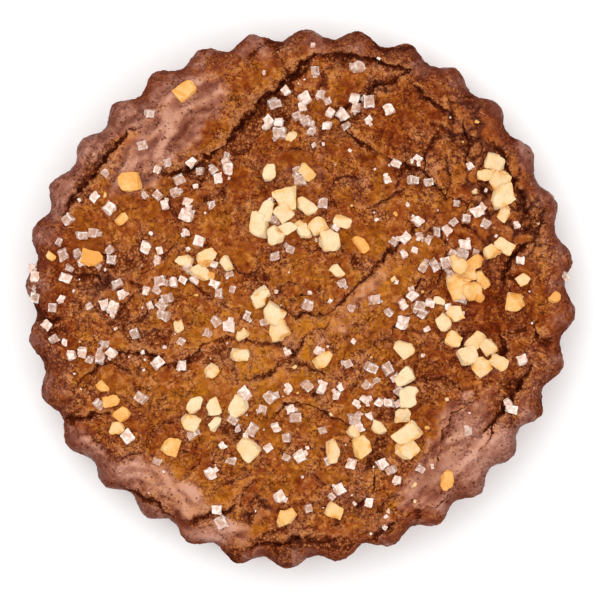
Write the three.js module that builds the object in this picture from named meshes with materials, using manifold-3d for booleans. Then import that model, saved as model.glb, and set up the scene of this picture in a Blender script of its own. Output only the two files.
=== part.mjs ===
// Round speculaas cookie: a thick biscuit with a fluted edge and a cracked top,
// strewn with chopped nuts and coarse sugar that are baked into it as one piece.
// Millimetres, +Z up; the origin is the middle of the flat underside.
import * as THREE from "three";
import { ConvexGeometry } from "three/addons/geometries/ConvexGeometry.js";
import { mergeVertices } from "three/addons/utils/BufferGeometryUtils.js";
import Module from "manifold-3d";

// Outline of the edge
const RADIUS = 52;
const FLUTES = 32;
const FLUTE_DEPTH = 2.1;
const FLUTE_TURN = -1.9;
const FLUTE_FADE = 7;
// Slow waves of the outline: waves in a turn, height, angle of a crest in degrees
const EDGE_WAVES = [
  [2, 0.86, 25],
  [3, 0.22, 46],
  [4, 0.23, -11],
  [5, 0.21, -13],
  [7, 0.29, 4],
  [8, 0.22, -11],
];
// Slow drift of the flutes along the edge: waves in a turn, degrees, angle of a crest
const FLUTE_DRIFT = [
  [1, 0.9, 140],
  [2, 0.7, 73],
  [4, 0.6, 35],
];

// Heights and the profile of the side
const RIM_HEIGHT = 11.5;
const CROWN = 2.3;
const LIP_WIDTH = 3.4;
const LIP_DROP = 3.2;
const FOOT_INSET = 2.6;
const FOOT_ROUND = 1.2;

// Mesh spacing
const EDGE_STEPS = FLUTES * 6;
const RING_SPACING = 4.4;
const LIP_INSETS = [0, 0.45, 1.5, 3.4];
const WELD = 1e-3;

// Swells of the top: x, y, half-length, half-width, direction in degrees, height
const SWELLS = [
  [-21.5, 37, 14, 5.5, 38, 0.8],
  [-21, -36, 13, 5.5, -20, 0.7],
  [32, -26, 12, 6, 55, 0.7],
  [17, 3, 10, 5, 45, 0.7],
  [0, 15, 10, 6, 0, 0.8],
  [-2, -29, 12, 7, 0, 0.6],
  [-35, -1, 10, 8, 90, 0.5],
  [13.5, 43, 9, 3.5, 0, 0.6],
  [28, 28, 8, 6, -40, 0.6],
  [12, -8, 8, 5, 20, -0.5],
  [-26, 14, 8, 6, 20, -0.5],
];

// Cracks: from x, y to x, y, sideways bow, width, depth
const CRACKS = [
  [-28.5, 23.5, -15.5, 28.5, -1, 1.6, 1.8],
  [-15.5, 28.5, 3.5, 48, 0.6, 1.7, 2],
  [-32.5, 32.5, -45.5, 15.5, -0.5, 1.5, 1.8],
  [3, 47.5, 21.5, 43.5, 0.8, 1.3, 1.5],
  [21.5, 43.5, 8, 35.5, -0.3, 1.2, 1.5],
  [8, 35.5, 16, 27, -1.6, 1.1, 1.3],
  [16, 27, 28.5, 19, 1.8, 1.1, 1.3],
  [22, 40.5, 31.5, 33.5, 0.7, 1.2, 1.4],
  [31.5, 33.5, 33, 24.5, 0.6, 1.1, 1.3],
  [38, 30.5, 45.5, 14, 0.2, 1.2, 1.5],
  [45.5, 10.5, 39.5, 2, -1.6, 1.7, 1.9],
  [46, -7, 49, -8, -0.8, 1.3, 1.5],
  [44.5, -13.5, 36.5, -26.5, 0.6, 1.4, 1.7],
  [39.5, -7, 38.5, -13.5, 0.9, 1.2, 1.4],
  [19, -43.5, 13, -47.5, 0.3, 1.2, 1.4],
  [-9.5, -48.5, 7, -48, 1, 1.8, 2],
  [-22.5, -43.5, -12.5, -41, 0, 1.6, 1.8],
  [-34.5, -36.5, -24, -43.5, 0.5, 1.4, 1.6],
  [-45, -24, -37, -22.5, 0.2, 1.5, 1.6],
  [22.5, 13.5, 6.5, -3.5, 0, 1.1, 1.1],
  [6.5, -3.5, -3, -2.5, 1.3, 1, 1],
  [2, -8, -11.5, -16.5, 1.9, 1, 1],
  [-36.5, -11, -25.5, -14, 1.4, 1.2, 1.2],
  [-25.5, -14, -17.5, -9, -0.5, 1.1, 1.1],
  [-17.5, -9, 0, -10, 0.9, 1.1, 1.1],
  [-44.5, 4.5, -38, 2.5, 0.9, 1.5, 1.4],
];
const CRACK_STEP = 2.6;
const CRACK_WOBBLE = 0.5;
const CRACK_CLEARANCE = 0.8;
const CRACK_TIP = 0.35;

// Drifts of chopped nuts: x, y, half-length, half-width, direction in degrees, pieces, size
const NUT_DRIFTS = [
  [0, 14.5, 9.5, 4.2, -8, 11, 1.2],
  [12, 10, 0, 0, 0, 1, 1.2],
  [7.5, 4.6, 2.6, 0.5, 105, 2, 1.05],
  [38.8, 20.6, 6.5, 2.4, 108, 5, 1.15],
  [33, 3.8, 5.2, 3, 10, 6, 1.2],
  [39.2, 9, 2.4, 0.8, 0, 2, 1],
  [41.3, -2, 2, 0.8, 70, 2, 1.2],
  [43.4, 3.2, 0, 0, 0, 1, 0.8],
  [35, -11.7, 4.2, 2.8, -35, 5, 1.15],
  [28.5, -4.5, 4.5, 2.8, 90, 4, 0.9],
  [21, -19, 11, 1.6, 90, 6, 1.2],
  [9.5, -30.2, 4.6, 3, 80, 3, 1.2],
  [15.5, -25.6, 0, 0, 0, 1, 0.95],
  [6.8, -41.6, 0, 0, 0, 1, 1.15],
  [-17.3, -22.3, 6.2, 2.8, 8, 6, 1.05],
  [-10, -29, 2, 0.3, 90, 2, 1.35],
  [-24.9, -29.1, 0, 0, 0, 1, 0.95],
  [-6, -2.6, 5.5, 1.8, 112, 4, 1.15],
  [-11.5, -9.3, 2.8, 0.5, 80, 2, 0.95],
  [-18, 6.8, 6, 2.6, 15, 4, 1],
  [-36.3, -21.3, 5, 3.2, -60, 4, 0.85],
  [-33, 22.2, 0, 0, 0, 1, 1.5],
  [-40.2, 7.3, 0, 0, 0, 1, 1.3],
  [-34.6, 14.9, 0, 0, 0, 1, 0.7],
  [-48.4, 7.8, 0, 0, 0, 1, 0.75],
  [-22, 39.7, 0, 0, 0, 1, 1.15],
  [28.6, -35.8, 0, 0, 0, 1, 1.15],
  [-2.5, -42.9, 0, 0, 0, 1, 1],
  [49.6, -0.4, 0, 0, 0, 1, 0.75],
  [-23.5, -5.9, 0, 0, 0, 1, 1.05],
  [4.6, -12.3, 0, 0, 0, 1, 1.1],
  [1.5, 24, 0, 0, 0, 1, 0.95],
  [-6, 24, 0, 0, 0, 1, 0.85],
  [-17.1, -14.7, 0, 0, 0, 1, 0.95],
  [-1.7, 30.9, 0, 0, 0, 1, 0.7],
];
const NUT_GAP = 2.7;
const NUT_LENGTH = 3.7;
const NUT_SUNK = 0.28;
const NUT_TILT = 0.3;

// Drifts of coarse sugar, in the same columns
const SUGAR_DRIFTS = [
  [-51.6, 3, 4.5, 0.3, 94, 4],
  [51.9, 3.5, 1.5, 0.2, 90, 1],
  [0, 34.5, 7, 6, 0, 13],
  [9, 36, 5, 4, 0, 5],
  [-42, 0, 17, 8, 90, 24],
  [-19.5, -1, 10, 8, 0, 16],
  [25.5, 10, 10, 5, -10, 16],
  [25.5, -3, 9, 4, 0, 9],
  [15.5, -20.5, 7, 6, 90, 14],
  [-5, -25, 9, 8, 90, 14],
  [-21.5, 22.5, 10, 5, 25, 14],
  [0, 0, 48, 47, 0, 90],
];
const SUGAR_GAP = 1.7;
const SUGAR_NUT_GAP = 1.6;
const SUGAR_LENGTH = [1.4, 2.4];
const SUGAR_SUNK = 0.33;
const SUGAR_TILT = 0.4;
const SUGAR_FUSED_FROM = 2.2;

const TRIES = 40;
const SEED = 1809;
const CRUST_COLOUR = 0x93522b;
const CRUST_ROUGHNESS = 0.7;

const wasm = await Module();
wasm.setup();

const radians = THREE.MathUtils.degToRad;
const lerp = THREE.MathUtils.lerp;

// Seeded draw between 0 and 1
let state = SEED;
function draw() {
  state = (Math.imul(state, 1664525) + 1013904223) >>> 0;
  return state / 4294967296;
}

// Sum of slow waves around the edge at an angle
function waves(rows, angle) {
  let sum = 0;
  for (const [turns, height, crest] of rows) {
    sum += height * Math.cos(turns * (angle - radians(crest)));
  }
  return sum;
}

// Edge radius without its flutes
function smoothRadius(angle) {
  return RADIUS + waves(EDGE_WAVES, angle);
}

// Radius of a line that runs round the cookie a given distance inside its edge
function edgeRadius(angle, inset) {
  const turn = angle - radians(FLUTE_TURN + waves(FLUTE_DRIFT, angle));
  const fade = Math.max(0, 1 - inset / FLUTE_FADE) ** 2;
  const flute = 0.5 * FLUTE_DEPTH * Math.cos(FLUTES * turn) * fade;
  return smoothRadius(angle) + flute - inset;
}

// Height of the top at a point a given distance inside the edge
function topHeight(x, y, inset) {
  const across = (x * x + y * y) / (RADIUS * RADIUS);
  const lip = 1 - THREE.MathUtils.clamp(inset / LIP_WIDTH, 0, 1);
  let height = RIM_HEIGHT + CROWN * (1 - across);
  height -= LIP_DROP * (1 - Math.sqrt(1 - lip * lip));
  for (const [sx, sy, length, width, direction, swell] of SWELLS) {
    const c = Math.cos(radians(direction));
    const s = Math.sin(radians(direction));
    const along = ((x - sx) * c + (y - sy) * s) / length;
    const aside = ((y - sy) * c - (x - sx) * s) / width;
    height += swell * Math.exp(-along * along - aside * aside);
  }
  return height;
}

function surfaceHeight(x, y) {
  const inset = smoothRadius(Math.atan2(y, x)) - Math.hypot(x, y);
  return topHeight(x, y, inset);
}

// One ring of the top at a distance inside the edge
function topRing(inset, steps) {
  const ring = [];
  for (let i = 0; i < steps; i += 1) {
    const angle = (2 * Math.PI * i) / steps;
    const radius = edgeRadius(angle, inset);
    const x = radius * Math.cos(angle);
    const y = radius * Math.sin(angle);
    ring.push(new THREE.Vector3(x, y, topHeight(x, y, inset)));
  }
  return ring;
}

// One ring of the foot, drawn in from the edge at a fixed height
function footRing(inset, height) {
  const ring = [];
  for (let i = 0; i < EDGE_STEPS; i += 1) {
    const angle = (2 * Math.PI * i) / EDGE_STEPS;
    const radius = edgeRadius(angle, 0) - inset;
    ring.push(new THREE.Vector3(radius * Math.cos(angle), radius * Math.sin(angle), height));
  }
  return ring;
}

// Closed surface through rings that run from the underside's middle to the top's middle
function skin(rings) {
  const points = rings.flat();
  const faces = [];
  let start = 0;
  for (let r = 0; r + 1 < rings.length; r += 1) {
    const lower = rings[r].length;
    const upper = rings[r + 1].length;
    const lowerSteps = lower > 1 ? lower : 0;
    const upperSteps = upper > 1 ? upper : 0;
    let i = 0;
    let j = 0;
    while (i < lowerSteps || j < upperSteps) {
      const a = start + (i % lower);
      const b = start + lower + (j % upper);
      if (j >= upperSteps || (i < lowerSteps && (i + 1) * upperSteps <= (j + 1) * lowerSteps)) {
        faces.push(a, start + ((i + 1) % lower), b);
        i += 1;
      } else {
        faces.push(a, start + lower + ((j + 1) % upper), b);
        j += 1;
      }
    }
    start += lower;
  }
  const geometry = new THREE.BufferGeometry().setFromPoints(points);
  geometry.setIndex(faces);
  return geometry;
}

// Whole biscuit without its cracks and toppings
function biscuit() {
  const rings = [[new THREE.Vector3(0, 0, 0)]];
  rings.push(footRing(FOOT_INSET + FOOT_ROUND, 0));
  rings.push(footRing(FOOT_INSET, FOOT_ROUND));
  for (const inset of LIP_INSETS) {
    rings.push(topRing(inset, EDGE_STEPS));
  }
  for (let inset = LIP_WIDTH + RING_SPACING; inset < RADIUS - 2; inset += RING_SPACING) {
    const steps = Math.round((2 * Math.PI * (RADIUS - inset)) / RING_SPACING);
    rings.push(topRing(inset, Math.max(6, steps)));
  }
  rings.push([new THREE.Vector3(0, 0, surfaceHeight(0, 0))]);
  return skin(rings);
}

function middle(points) {
  const sum = points.reduce((total, point) => total.add(point), new THREE.Vector3());
  return sum.divideScalar(points.length);
}

// Wedge that cuts one crack, tapering to both ends and wandering a little
function crackWedge([x0, y0, x1, y1, bow, width, depth]) {
  const length = Math.hypot(x1 - x0, y1 - y0);
  const aside = new THREE.Vector2(-(y1 - y0) / length, (x1 - x0) / length);
  const steps = Math.max(3, Math.round(length / CRACK_STEP));
  const rings = [];
  for (let i = 0; i <= steps; i += 1) {
    const part = i / steps;
    const swing = Math.sin(Math.PI * part);
    const stray = bow * swing + CRACK_WOBBLE * (2 * draw() - 1);
    const x = lerp(x0, x1, part) + aside.x * stray;
    const y = lerp(y0, y1, part) + aside.y * stray;
    const size = lerp(CRACK_TIP, 1, Math.sqrt(swing)) * (0.8 + 0.4 * draw());
    const half = (0.5 * width * size * (depth * size + CRACK_CLEARANCE)) / (depth * size);
    const top = surfaceHeight(x, y);
    rings.push([
      new THREE.Vector3(x, y, top - depth * size),
      new THREE.Vector3(x + aside.x * half, y + aside.y * half, top + CRACK_CLEARANCE),
      new THREE.Vector3(x - aside.x * half, y - aside.y * half, top + CRACK_CLEARANCE),
    ]);
  }
  return skin([[middle(rings[0])], ...rings, [middle(rings.at(-1))]]);
}

// Places in the drifts, kept apart from each other and from earlier pieces
function scatter(drifts, gap, others, otherGap) {
  const places = [];
  for (const [x, y, along, aside, direction, count, size] of drifts) {
    const c = Math.cos(radians(direction));
    const s = Math.sin(radians(direction));
    for (let n = 0; n < count; n += 1) {
      for (let attempt = 0; attempt < TRIES; attempt += 1) {
        const reach = Math.sqrt(draw());
        const turn = 2 * Math.PI * draw();
        const u = along * reach * Math.cos(turn);
        const v = aside * reach * Math.sin(turn);
        const place = new THREE.Vector2(x + u * c - v * s, y + u * s + v * c);
        const free = places.every((p) => p.distanceTo(place) > gap);
        if (free && others.every((p) => p.distanceTo(place) > otherGap)) {
          place.size = size;
          places.push(place);
          break;
        }
      }
    }
  }
  return places;
}

// Sets a piece on the crust, turned and tilted, with part of its height sunk
function settle(geometry, place, height, sunk, tilt) {
  const tiltX = tilt * (2 * draw() - 1);
  const tiltY = tilt * (2 * draw() - 1);
  const turn = 2 * Math.PI * draw();
  geometry.rotateX(tiltX).rotateY(tiltY).rotateZ(turn);
  const lift = surfaceHeight(place.x, place.y) + height * (0.5 - sunk);
  return geometry.translate(place.x, place.y, lift);
}

// Chopped nut: the hull of a box's corners, each cut back unevenly, and of its blunt ends and sides
function nut(place) {
  const length = NUT_LENGTH * place.size * lerp(0.8, 1.2, draw());
  const width = length * lerp(0.58, 0.95, draw());
  const height = width * lerp(0.6, 0.85, draw());
  const points = [];
  for (let corner = 0; corner < 8; corner += 1) {
    const x = (corner & 1 ? 0.5 : -0.5) * lerp(0.55, 1, draw());
    const y = (corner & 2 ? 0.5 : -0.5) * lerp(0.55, 1, draw());
    const z = (corner & 4 ? 0.5 : -0.5) * lerp(0.75, 1, draw());
    points.push(new THREE.Vector3(length * x, width * y, height * z));
  }
  for (const side of [-0.5, 0.5]) {
    const skew = lerp(-0.2, 0.2, draw());
    points.push(new THREE.Vector3(length * side, width * skew, height * skew));
    points.push(new THREE.Vector3(length * skew, width * side, -height * skew));
  }
  return settle(new ConvexGeometry(points), place, height, NUT_SUNK, NUT_TILT);
}

// Sugar grain: a box with uneven sides
function grain(place) {
  const length = lerp(SUGAR_LENGTH[0], SUGAR_LENGTH[1], draw());
  const width = length * lerp(0.7, 1, draw());
  const height = length * lerp(0.6, 0.9, draw());
  const box = new THREE.BoxGeometry(length, width, height);
  return { length, geometry: settle(box, place, height, SUGAR_SUNK, SUGAR_TILT) };
}

// Closed solid from a geometry's positions
function solid(geometry) {
  geometry.deleteAttribute("normal");
  geometry.deleteAttribute("uv");
  const merged = mergeVertices(geometry, WELD);
  const vertProperties = new Float32Array(merged.attributes.position.array);
  const triVerts = new Uint32Array(merged.index.array);
  return new wasm.Manifold(new wasm.Mesh({ numProp: 3, vertProperties, triVerts }));
}

// Geometry of a solid's surface
function surface(body) {
  const shape = body.getMesh();
  const geometry = new THREE.BufferGeometry();
  geometry.setAttribute("position", new THREE.BufferAttribute(shape.vertProperties, 3));
  geometry.setIndex(new THREE.BufferAttribute(shape.triVerts, 1));
  return geometry;
}

// Largest closed piece of a solid, without sealed hollows or loose scraps
function largest(body) {
  const pieces = solid(surface(body)).decompose();
  return pieces.reduce((best, piece) => (piece.volume() > best.volume() ? piece : best));
}

function cookieSolid() {
  const cracks = CRACKS.map(crackWedge);
  const nutPlaces = scatter(NUT_DRIFTS, NUT_GAP, [], 0);
  const nuts = nutPlaces.map(nut);
  const grains = scatter(SUGAR_DRIFTS, SUGAR_GAP, nutPlaces, SUGAR_NUT_GAP).map(grain);
  const fused = grains.filter((one) => one.length >= SUGAR_FUSED_FROM).map((one) => one.geometry);
  const toppings = wasm.Manifold.union([...nuts, ...fused].map(solid));
  const cut = wasm.Manifold.union(cracks.map(solid));
  return largest(solid(biscuit()).subtract(cut).add(toppings));
}

function cookie() {
  const geometry = surface(cookieSolid());
  geometry.computeVertexNormals();
  const material = new THREE.MeshStandardMaterial({
    color: CRUST_COLOUR,
    roughness: CRUST_ROUGHNESS,
    metalness: 0,
  });
  const mesh = new THREE.Mesh(geometry, material);
  mesh.name = "cookie";
  return mesh;
}

const part = new THREE.Group();
part.name = "speculaas_cookie";
part.add(cookie());

export default part;
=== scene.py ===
"""Round speculaas cookie: cracked crust, chopped nuts and coarse sugar, on a pale table."""

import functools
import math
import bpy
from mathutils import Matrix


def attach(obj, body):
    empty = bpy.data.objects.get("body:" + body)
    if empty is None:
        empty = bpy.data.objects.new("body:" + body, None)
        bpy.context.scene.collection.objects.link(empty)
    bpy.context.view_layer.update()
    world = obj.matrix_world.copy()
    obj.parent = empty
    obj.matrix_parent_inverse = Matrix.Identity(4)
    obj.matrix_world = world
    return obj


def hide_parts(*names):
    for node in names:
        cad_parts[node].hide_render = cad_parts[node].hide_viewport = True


bl_info = {
    "name": "Speculaas cookie",
    "version": (1, 0, 0),
    "blender": (4, 5, 0),
    "location": "3D View > Sidebar > Cookie",
    "description": "Dresses a fluted speculaas cookie with its crust, chopped nuts and coarse sugar",
    "category": "Add Mesh",
}

import bmesh
import bpy
import numpy as np
from bpy.props import FloatProperty, FloatVectorProperty, IntProperty, PointerProperty
from mathutils import Matrix, Vector

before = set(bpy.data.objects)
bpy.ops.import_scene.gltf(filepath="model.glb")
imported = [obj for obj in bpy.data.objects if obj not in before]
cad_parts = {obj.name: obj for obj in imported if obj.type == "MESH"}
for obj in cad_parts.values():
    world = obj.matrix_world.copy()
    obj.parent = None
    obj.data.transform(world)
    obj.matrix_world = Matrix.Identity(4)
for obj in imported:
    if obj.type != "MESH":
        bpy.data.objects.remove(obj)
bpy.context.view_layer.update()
NODE = "cookie"
BODY = "root"
MM = 0.001

# Outline of the edge, in millimetres and degrees
RADIUS = 52
FLUTES = 32
FLUTE_DEPTH = 2.1
FLUTE_TURN = -1.9
FLUTE_FADE = 7
EDGE_WAVES = [
    (2, 0.86, 25),
    (3, 0.22, 46),
    (4, 0.23, -11),
    (5, 0.21, -13),
    (7, 0.29, 4),
    (8, 0.22, -11),
]
FLUTE_DRIFT = [(1, 0.9, 140), (2, 0.7, 73), (4, 0.6, 35)]

# Heights and the profile of the side
RIM_HEIGHT = 11.5
CROWN = 2.3
LIP_WIDTH = 3.4
LIP_DROP = 3.2
FOOT_INSET = 2.6
FOOT_ROUND = 1.2

# Swells of the top: x, y, half-length, half-width, direction, height
SWELLS = [
    (-21.5, 37, 14, 5.5, 38, 0.8),
    (-21, -36, 13, 5.5, -20, 0.7),
    (32, -26, 12, 6, 55, 0.7),
    (17, 3, 10, 5, 45, 0.7),
    (0, 15, 10, 6, 0, 0.8),
    (-2, -29, 12, 7, 0, 0.6),
    (-35, -1, 10, 8, 90, 0.5),
    (13.5, 43, 9, 3.5, 0, 0.6),
    (28, 28, 8, 6, -40, 0.6),
    (12, -8, 8, 5, 20, -0.5),
    (-26, 14, 8, 6, 20, -0.5),
]

# Smooth skin with its painted sheen, light and dark zones, open crumb and cobbled plates, in the same
# columns
SKIN_AND_SHEEN_ZONES = [
    (-22.5, 36, 10, 6.5, 45, 1.0),
    (-30, 27.5, 6, 3.4, 30, 0.9),
    (-33, 21.5, 6, 2.6, 10, 0.75),
    (-37.5, 31.5, 9, 3.4, 42, 0.85),
    (-45.5, 19.5, 7, 2.8, 60, 0.75),
    (-24.3, -38.6, 9, 3.8, -32, 1.3),
    (-29.5, -42.3, 5, 1.8, -32, 0.95),
    (-39.5, -32, 10, 3.6, -50, 0.85),
    (-15.5, -45.8, 7, 2.8, 5, 1.0),
    (32.5, -26, 14, 7, 57, 0.75),
    (27, -35.5, 9, 5, 40, 0.95),
    (40.5, -31, 9, 3.6, 50, 0.95),
    (47.5, 21, 9, 1.8, 115, 0.7),
    (50.8, 8, 7, 1.5, 95, 0.65),
    (44.3, 27.6, 3, 2, -55, 0.9),
    (38.5, 37, 2.6, 1.6, -50, 0.7),
    (11.5, -1, 14, 2.6, 45, 0.55),
    (6, 22, 8, 3, -15, 0.35),
]
TONES = [
    (0, 0, 24, 24, 0, 0.14),
    (-12, -14, 13, 9, 20, 0.5),
    (0, 20, 11, 6, 0, -0.3),
    (11.5, -1, 14, 3, 45, 0.4),
    (-47, 2, 5, 12, 0, -0.3),
    (37, 2, 9, 14, 0, -0.85),
    (34, 34, 10, 7, -45, -0.45),
    (20, 32, 10, 7, -30, -0.4),
    (13, 43, 10, 4, 0, -0.25),
    (21, -21, 9, 7, 0, -0.25),
    (-14, 25, 12, 5, 30, -0.25),
    (5, 30, 12, 7, 0, -0.15),
    (-47, 6, 5, 14, 0, -0.3),
    (2, -47, 16, 4, 0, -0.1),
    (-24.5, -38.5, 8, 4, -35, 1.0),
    (-15.5, -45.8, 7, 3, 5, 0.6),
    (29, -35, 9, 5, 45, 0.3),
    (38, -22, 10, 5, 57, -0.25),
    (-23, 34, 10, 6, 45, -0.15),
    (-39.5, -31, 9, 5, -45, -0.35),
    (-30, -28, 10, 7, 0, -0.25),
    (-3, -10.5, 10, 7, 0, 0.22),
    (30, -12.5, 9, 6, 0, -0.35),
    (12, -47.5, 6, 4, 15, 0.4),
    (23.5, 46, 6, 4, -25, -0.45),
    (-47, -12.5, 4, 7, 0, -0.4),
    (47, 11, 4, 6, 0, 0.4),
    (23.5, -36, 6, 5, 0, -0.3),
    (-8, 8, 9, 6, 0, -0.2),
]
CRUMBLES = [
    (-37, 5, 9, 3, 25, 1.0),
    (-36, -3.5, 4, 3, 0, 0.9),
    (-29, -8, 5, 2.5, 0, 0.9),
    (-21, -12, 9, 2.2, 15, 0.8),
    (44, 14, 5, 4, 30, 0.9),
    (24, 32, 4, 9, 30, 0.15),
    (-10, 31, 11, 2.4, 45, 1.0),
    (-10.5, -43, 2, 4, -20, 1.0),
    (2, -48, 12, 2, 0, 0.9),
    (-7, 3, 5, 3, 90, 0.6),
    (17, -22, 5, 3, 70, 0.6),
    (45, 3, 4, 7, 0, -0.6),
]
COBBLES = [
    (42, 12, 8, 12, 0, 1.0),
    (37, 22, 15, 5, -63, 1.0),
    (34, 33, 6, 5, -45, 0.8),
    (-8, -42, 7, 6, 0, 0.7),
    (-40, 4, 8, 6, 0, 0.6),
    (14, 40, 9, 5, 0, 0.5),
    (24, -10, 8, 8, 0, 0.4),
    (45.5, 3.5, 5, 6, 0, -0.9),
]

# Cracks: from x, y to x, y, sideways bow, width, depth
CRACKS = [
    (-28.5, 23.5, -15.5, 28.5, -1, 1.6, 1.8),
    (-15.5, 28.5, 3.5, 48, 0.6, 1.7, 2),
    (-32.5, 32.5, -45.5, 15.5, -0.5, 1.5, 1.8),
    (3, 47.5, 21.5, 43.5, 0.8, 1.3, 1.5),
    (21.5, 43.5, 8, 35.5, -0.3, 1.2, 1.5),
    (8, 35.5, 16, 27, -1.6, 1.1, 1.3),
    (16, 27, 28.5, 19, 1.8, 1.1, 1.3),
    (22, 40.5, 31.5, 33.5, 0.7, 1.2, 1.4),
    (31.5, 33.5, 33, 24.5, 0.6, 1.1, 1.3),
    (38, 30.5, 45.5, 14, 0.2, 1.2, 1.5),
    (45.5, 10.5, 39.5, 2, -1.6, 1.7, 1.9),
    (46, -7, 49, -8, -0.8, 1.3, 1.5),
    (44.5, -13.5, 36.5, -26.5, 0.6, 1.4, 1.7),
    (39.5, -7, 38.5, -13.5, 0.9, 1.2, 1.4),
    (19, -43.5, 13, -47.5, 0.3, 1.2, 1.4),
    (-9.5, -48.5, 7, -48, 1, 1.8, 2),
    (-22.5, -43.5, -12.5, -41, 0, 1.6, 1.8),
    (-34.5, -36.5, -24, -43.5, 0.5, 1.4, 1.6),
    (-45, -24, -37, -22.5, 0.2, 1.5, 1.6),
    (22.5, 13.5, 6.5, -3.5, 0, 1.1, 1.1),
    (6.5, -3.5, -3, -2.5, 1.3, 1, 1),
    (2, -8, -11.5, -16.5, 1.9, 1, 1),
    (-36.5, -11, -25.5, -14, 1.4, 1.2, 1.2),
    (-25.5, -14, -17.5, -9, -0.5, 1.1, 1.1),
    (-17.5, -9, 0, -10, 0.9, 1.1, 1.1),
    (-44.5, 4.5, -38, 2.5, 0.9, 1.5, 1.4),
]
CRACK_STEP = 2.6
CRACK_WOBBLE = 0.5
CRACK_TIP = 0.35
CRACK_MARGIN = 6
CRACK_FAR = 3.0
CRACK_HALF = 0.2

# Torn shoulders of the cracks: depths from which they widen, slot's share of the depth, strands, lips
DEEP_FROM = 1.4
DEEP_TO = 2
SLOT_SHARE = 0.4
SLOT_EDGE = 0.2
TEAR_FULL = 1.3
STRAND_WIDTH = 0.65
STRAND_LENGTH = 3.6
LIP_REACH = 2.6

# Hairline cracks of the crust, in the same columns
HAIRLINES = [
    (-5.1, -22.6, 2.5, -21.2, 0.8, 0.8, 0.7),
    (2.5, -21.5, 9.5, -25.5, 0.3, 0.8, 0.7),
    (4.8, -17.6, 1.8, -19.9, 0, 0.7, 0.6),
    (20.7, 0.7, 24.8, 3.1, 0.3, 0.7, 0.6),
    (17.4, -7.5, 22.4, -3, 0.3, 0.7, 0.6),
    (-43, -17, -36.5, -11.3, -0.3, 0.8, 0.7),
    (-11.5, -40.8, -8.8, -35.5, 0.4, 0.9, 0.8),
    (41.5, 13.3, 47.8, 14.5, -0.8, 0.9, 0.8),
    (43, 17, 46, 14.5, 0, 0.8, 0.7),
    (-8, 36, 2, 44.5, 0.4, 1.0, 0.9),
    (24, 24, 27.5, 33, 0.5, 0.7, 0.6),
    (-20, -33, -24, -36, 0.4, 0.7, 0.6),
    (13, 17, 21, 21.5, -0.6, 0.6, 0.5),
    (30, 15, 35, 11.5, 0.5, 0.6, 0.5),
    (26.7, -31.4, 31.9, -20.3, 0.6, 0.5, 0.4),
    (34.5, -30, 39.7, -21.6, -0.4, 0.5, 0.4),
    (20.2, -43, 29.3, -39.2, -0.5, 0.6, 0.5),
    (32, 31.5, 37, 28.6, 0.3, 0.5, 0.5),
    (34.8, 31.5, 35.3, 27.5, 0.3, 0.5, 0.5),
    (28.4, 26.5, 28.9, 18.9, 0.4, 0.55, 0.5),
    (28.9, 18.8, 32.6, 18.2, 0.3, 0.5, 0.5),
    (32.6, 18.4, 32.4, 15.8, 0.2, 0.5, 0.5),
    (42, 18.5, 44.3, 16.3, 0.3, 0.5, 0.5),
    (43.5, -2.5, 46, -6.5, 0.3, 0.5, 0.5),
    (-50.5, -4.6, -46.5, -5, 0.2, 0.5, 0.5),
    (6.2, -4, 2.2, -8, -0.3, 0.7, 0.7),
    (10.3, -41, 12.6, -39.6, 0.2, 0.6, 0.6),
    (14, -37.5, 15.6, -33, 0.3, 0.5, 0.5),
    (0.8, -28.2, 2.4, -29.8, 0.3, 0.5, 0.5),
]

# Forms of the crust: their sizes and heights, widths of the rim, reach of the beds round toppings
RIM_OUTER = 1.5
RIM_INNER = 6
LOBE_INNER = 7
EDGE_BROWN = (1.8, 0.4)
WARP_SIZE = 2.2
WARP_REACH = 0.8
FOLD_SPACING = (3.4, 1.6)
FOLD_LENGTH = (11, 6)
FOLD_HEIGHT = 0.65
PLATE_SIZE = 8.5
PLATE_HEIGHT = 0.28
PLATE_WARP = 1.5
PLATE_WARP_SIZE = 4.5
KNOB_SIZE = 3.3
KNOB_HEIGHT = 0.08
COBBLE_SIZE = 4.6
COBBLE_WARP = 0.8
COBBLE_WARP_SIZE = 1.8
COBBLE_SHIFT = 31
CRUMB_SIZE = 1.2
CRUMB_HEIGHT = 0.4
GRAIN_SIZE = 1.5
GRAIN_HEIGHT = 0.12
LUMP_SIZE = 4.2
LUMP_HEIGHT = 0.18
HILL_SIZE = 12
HILL_HEIGHT = 0.35
STRAND_HEIGHT = 0.4
LOBE_HEIGHT = 0.25
NUT_BED = 0.55
SUGAR_BED = 0.6

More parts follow.
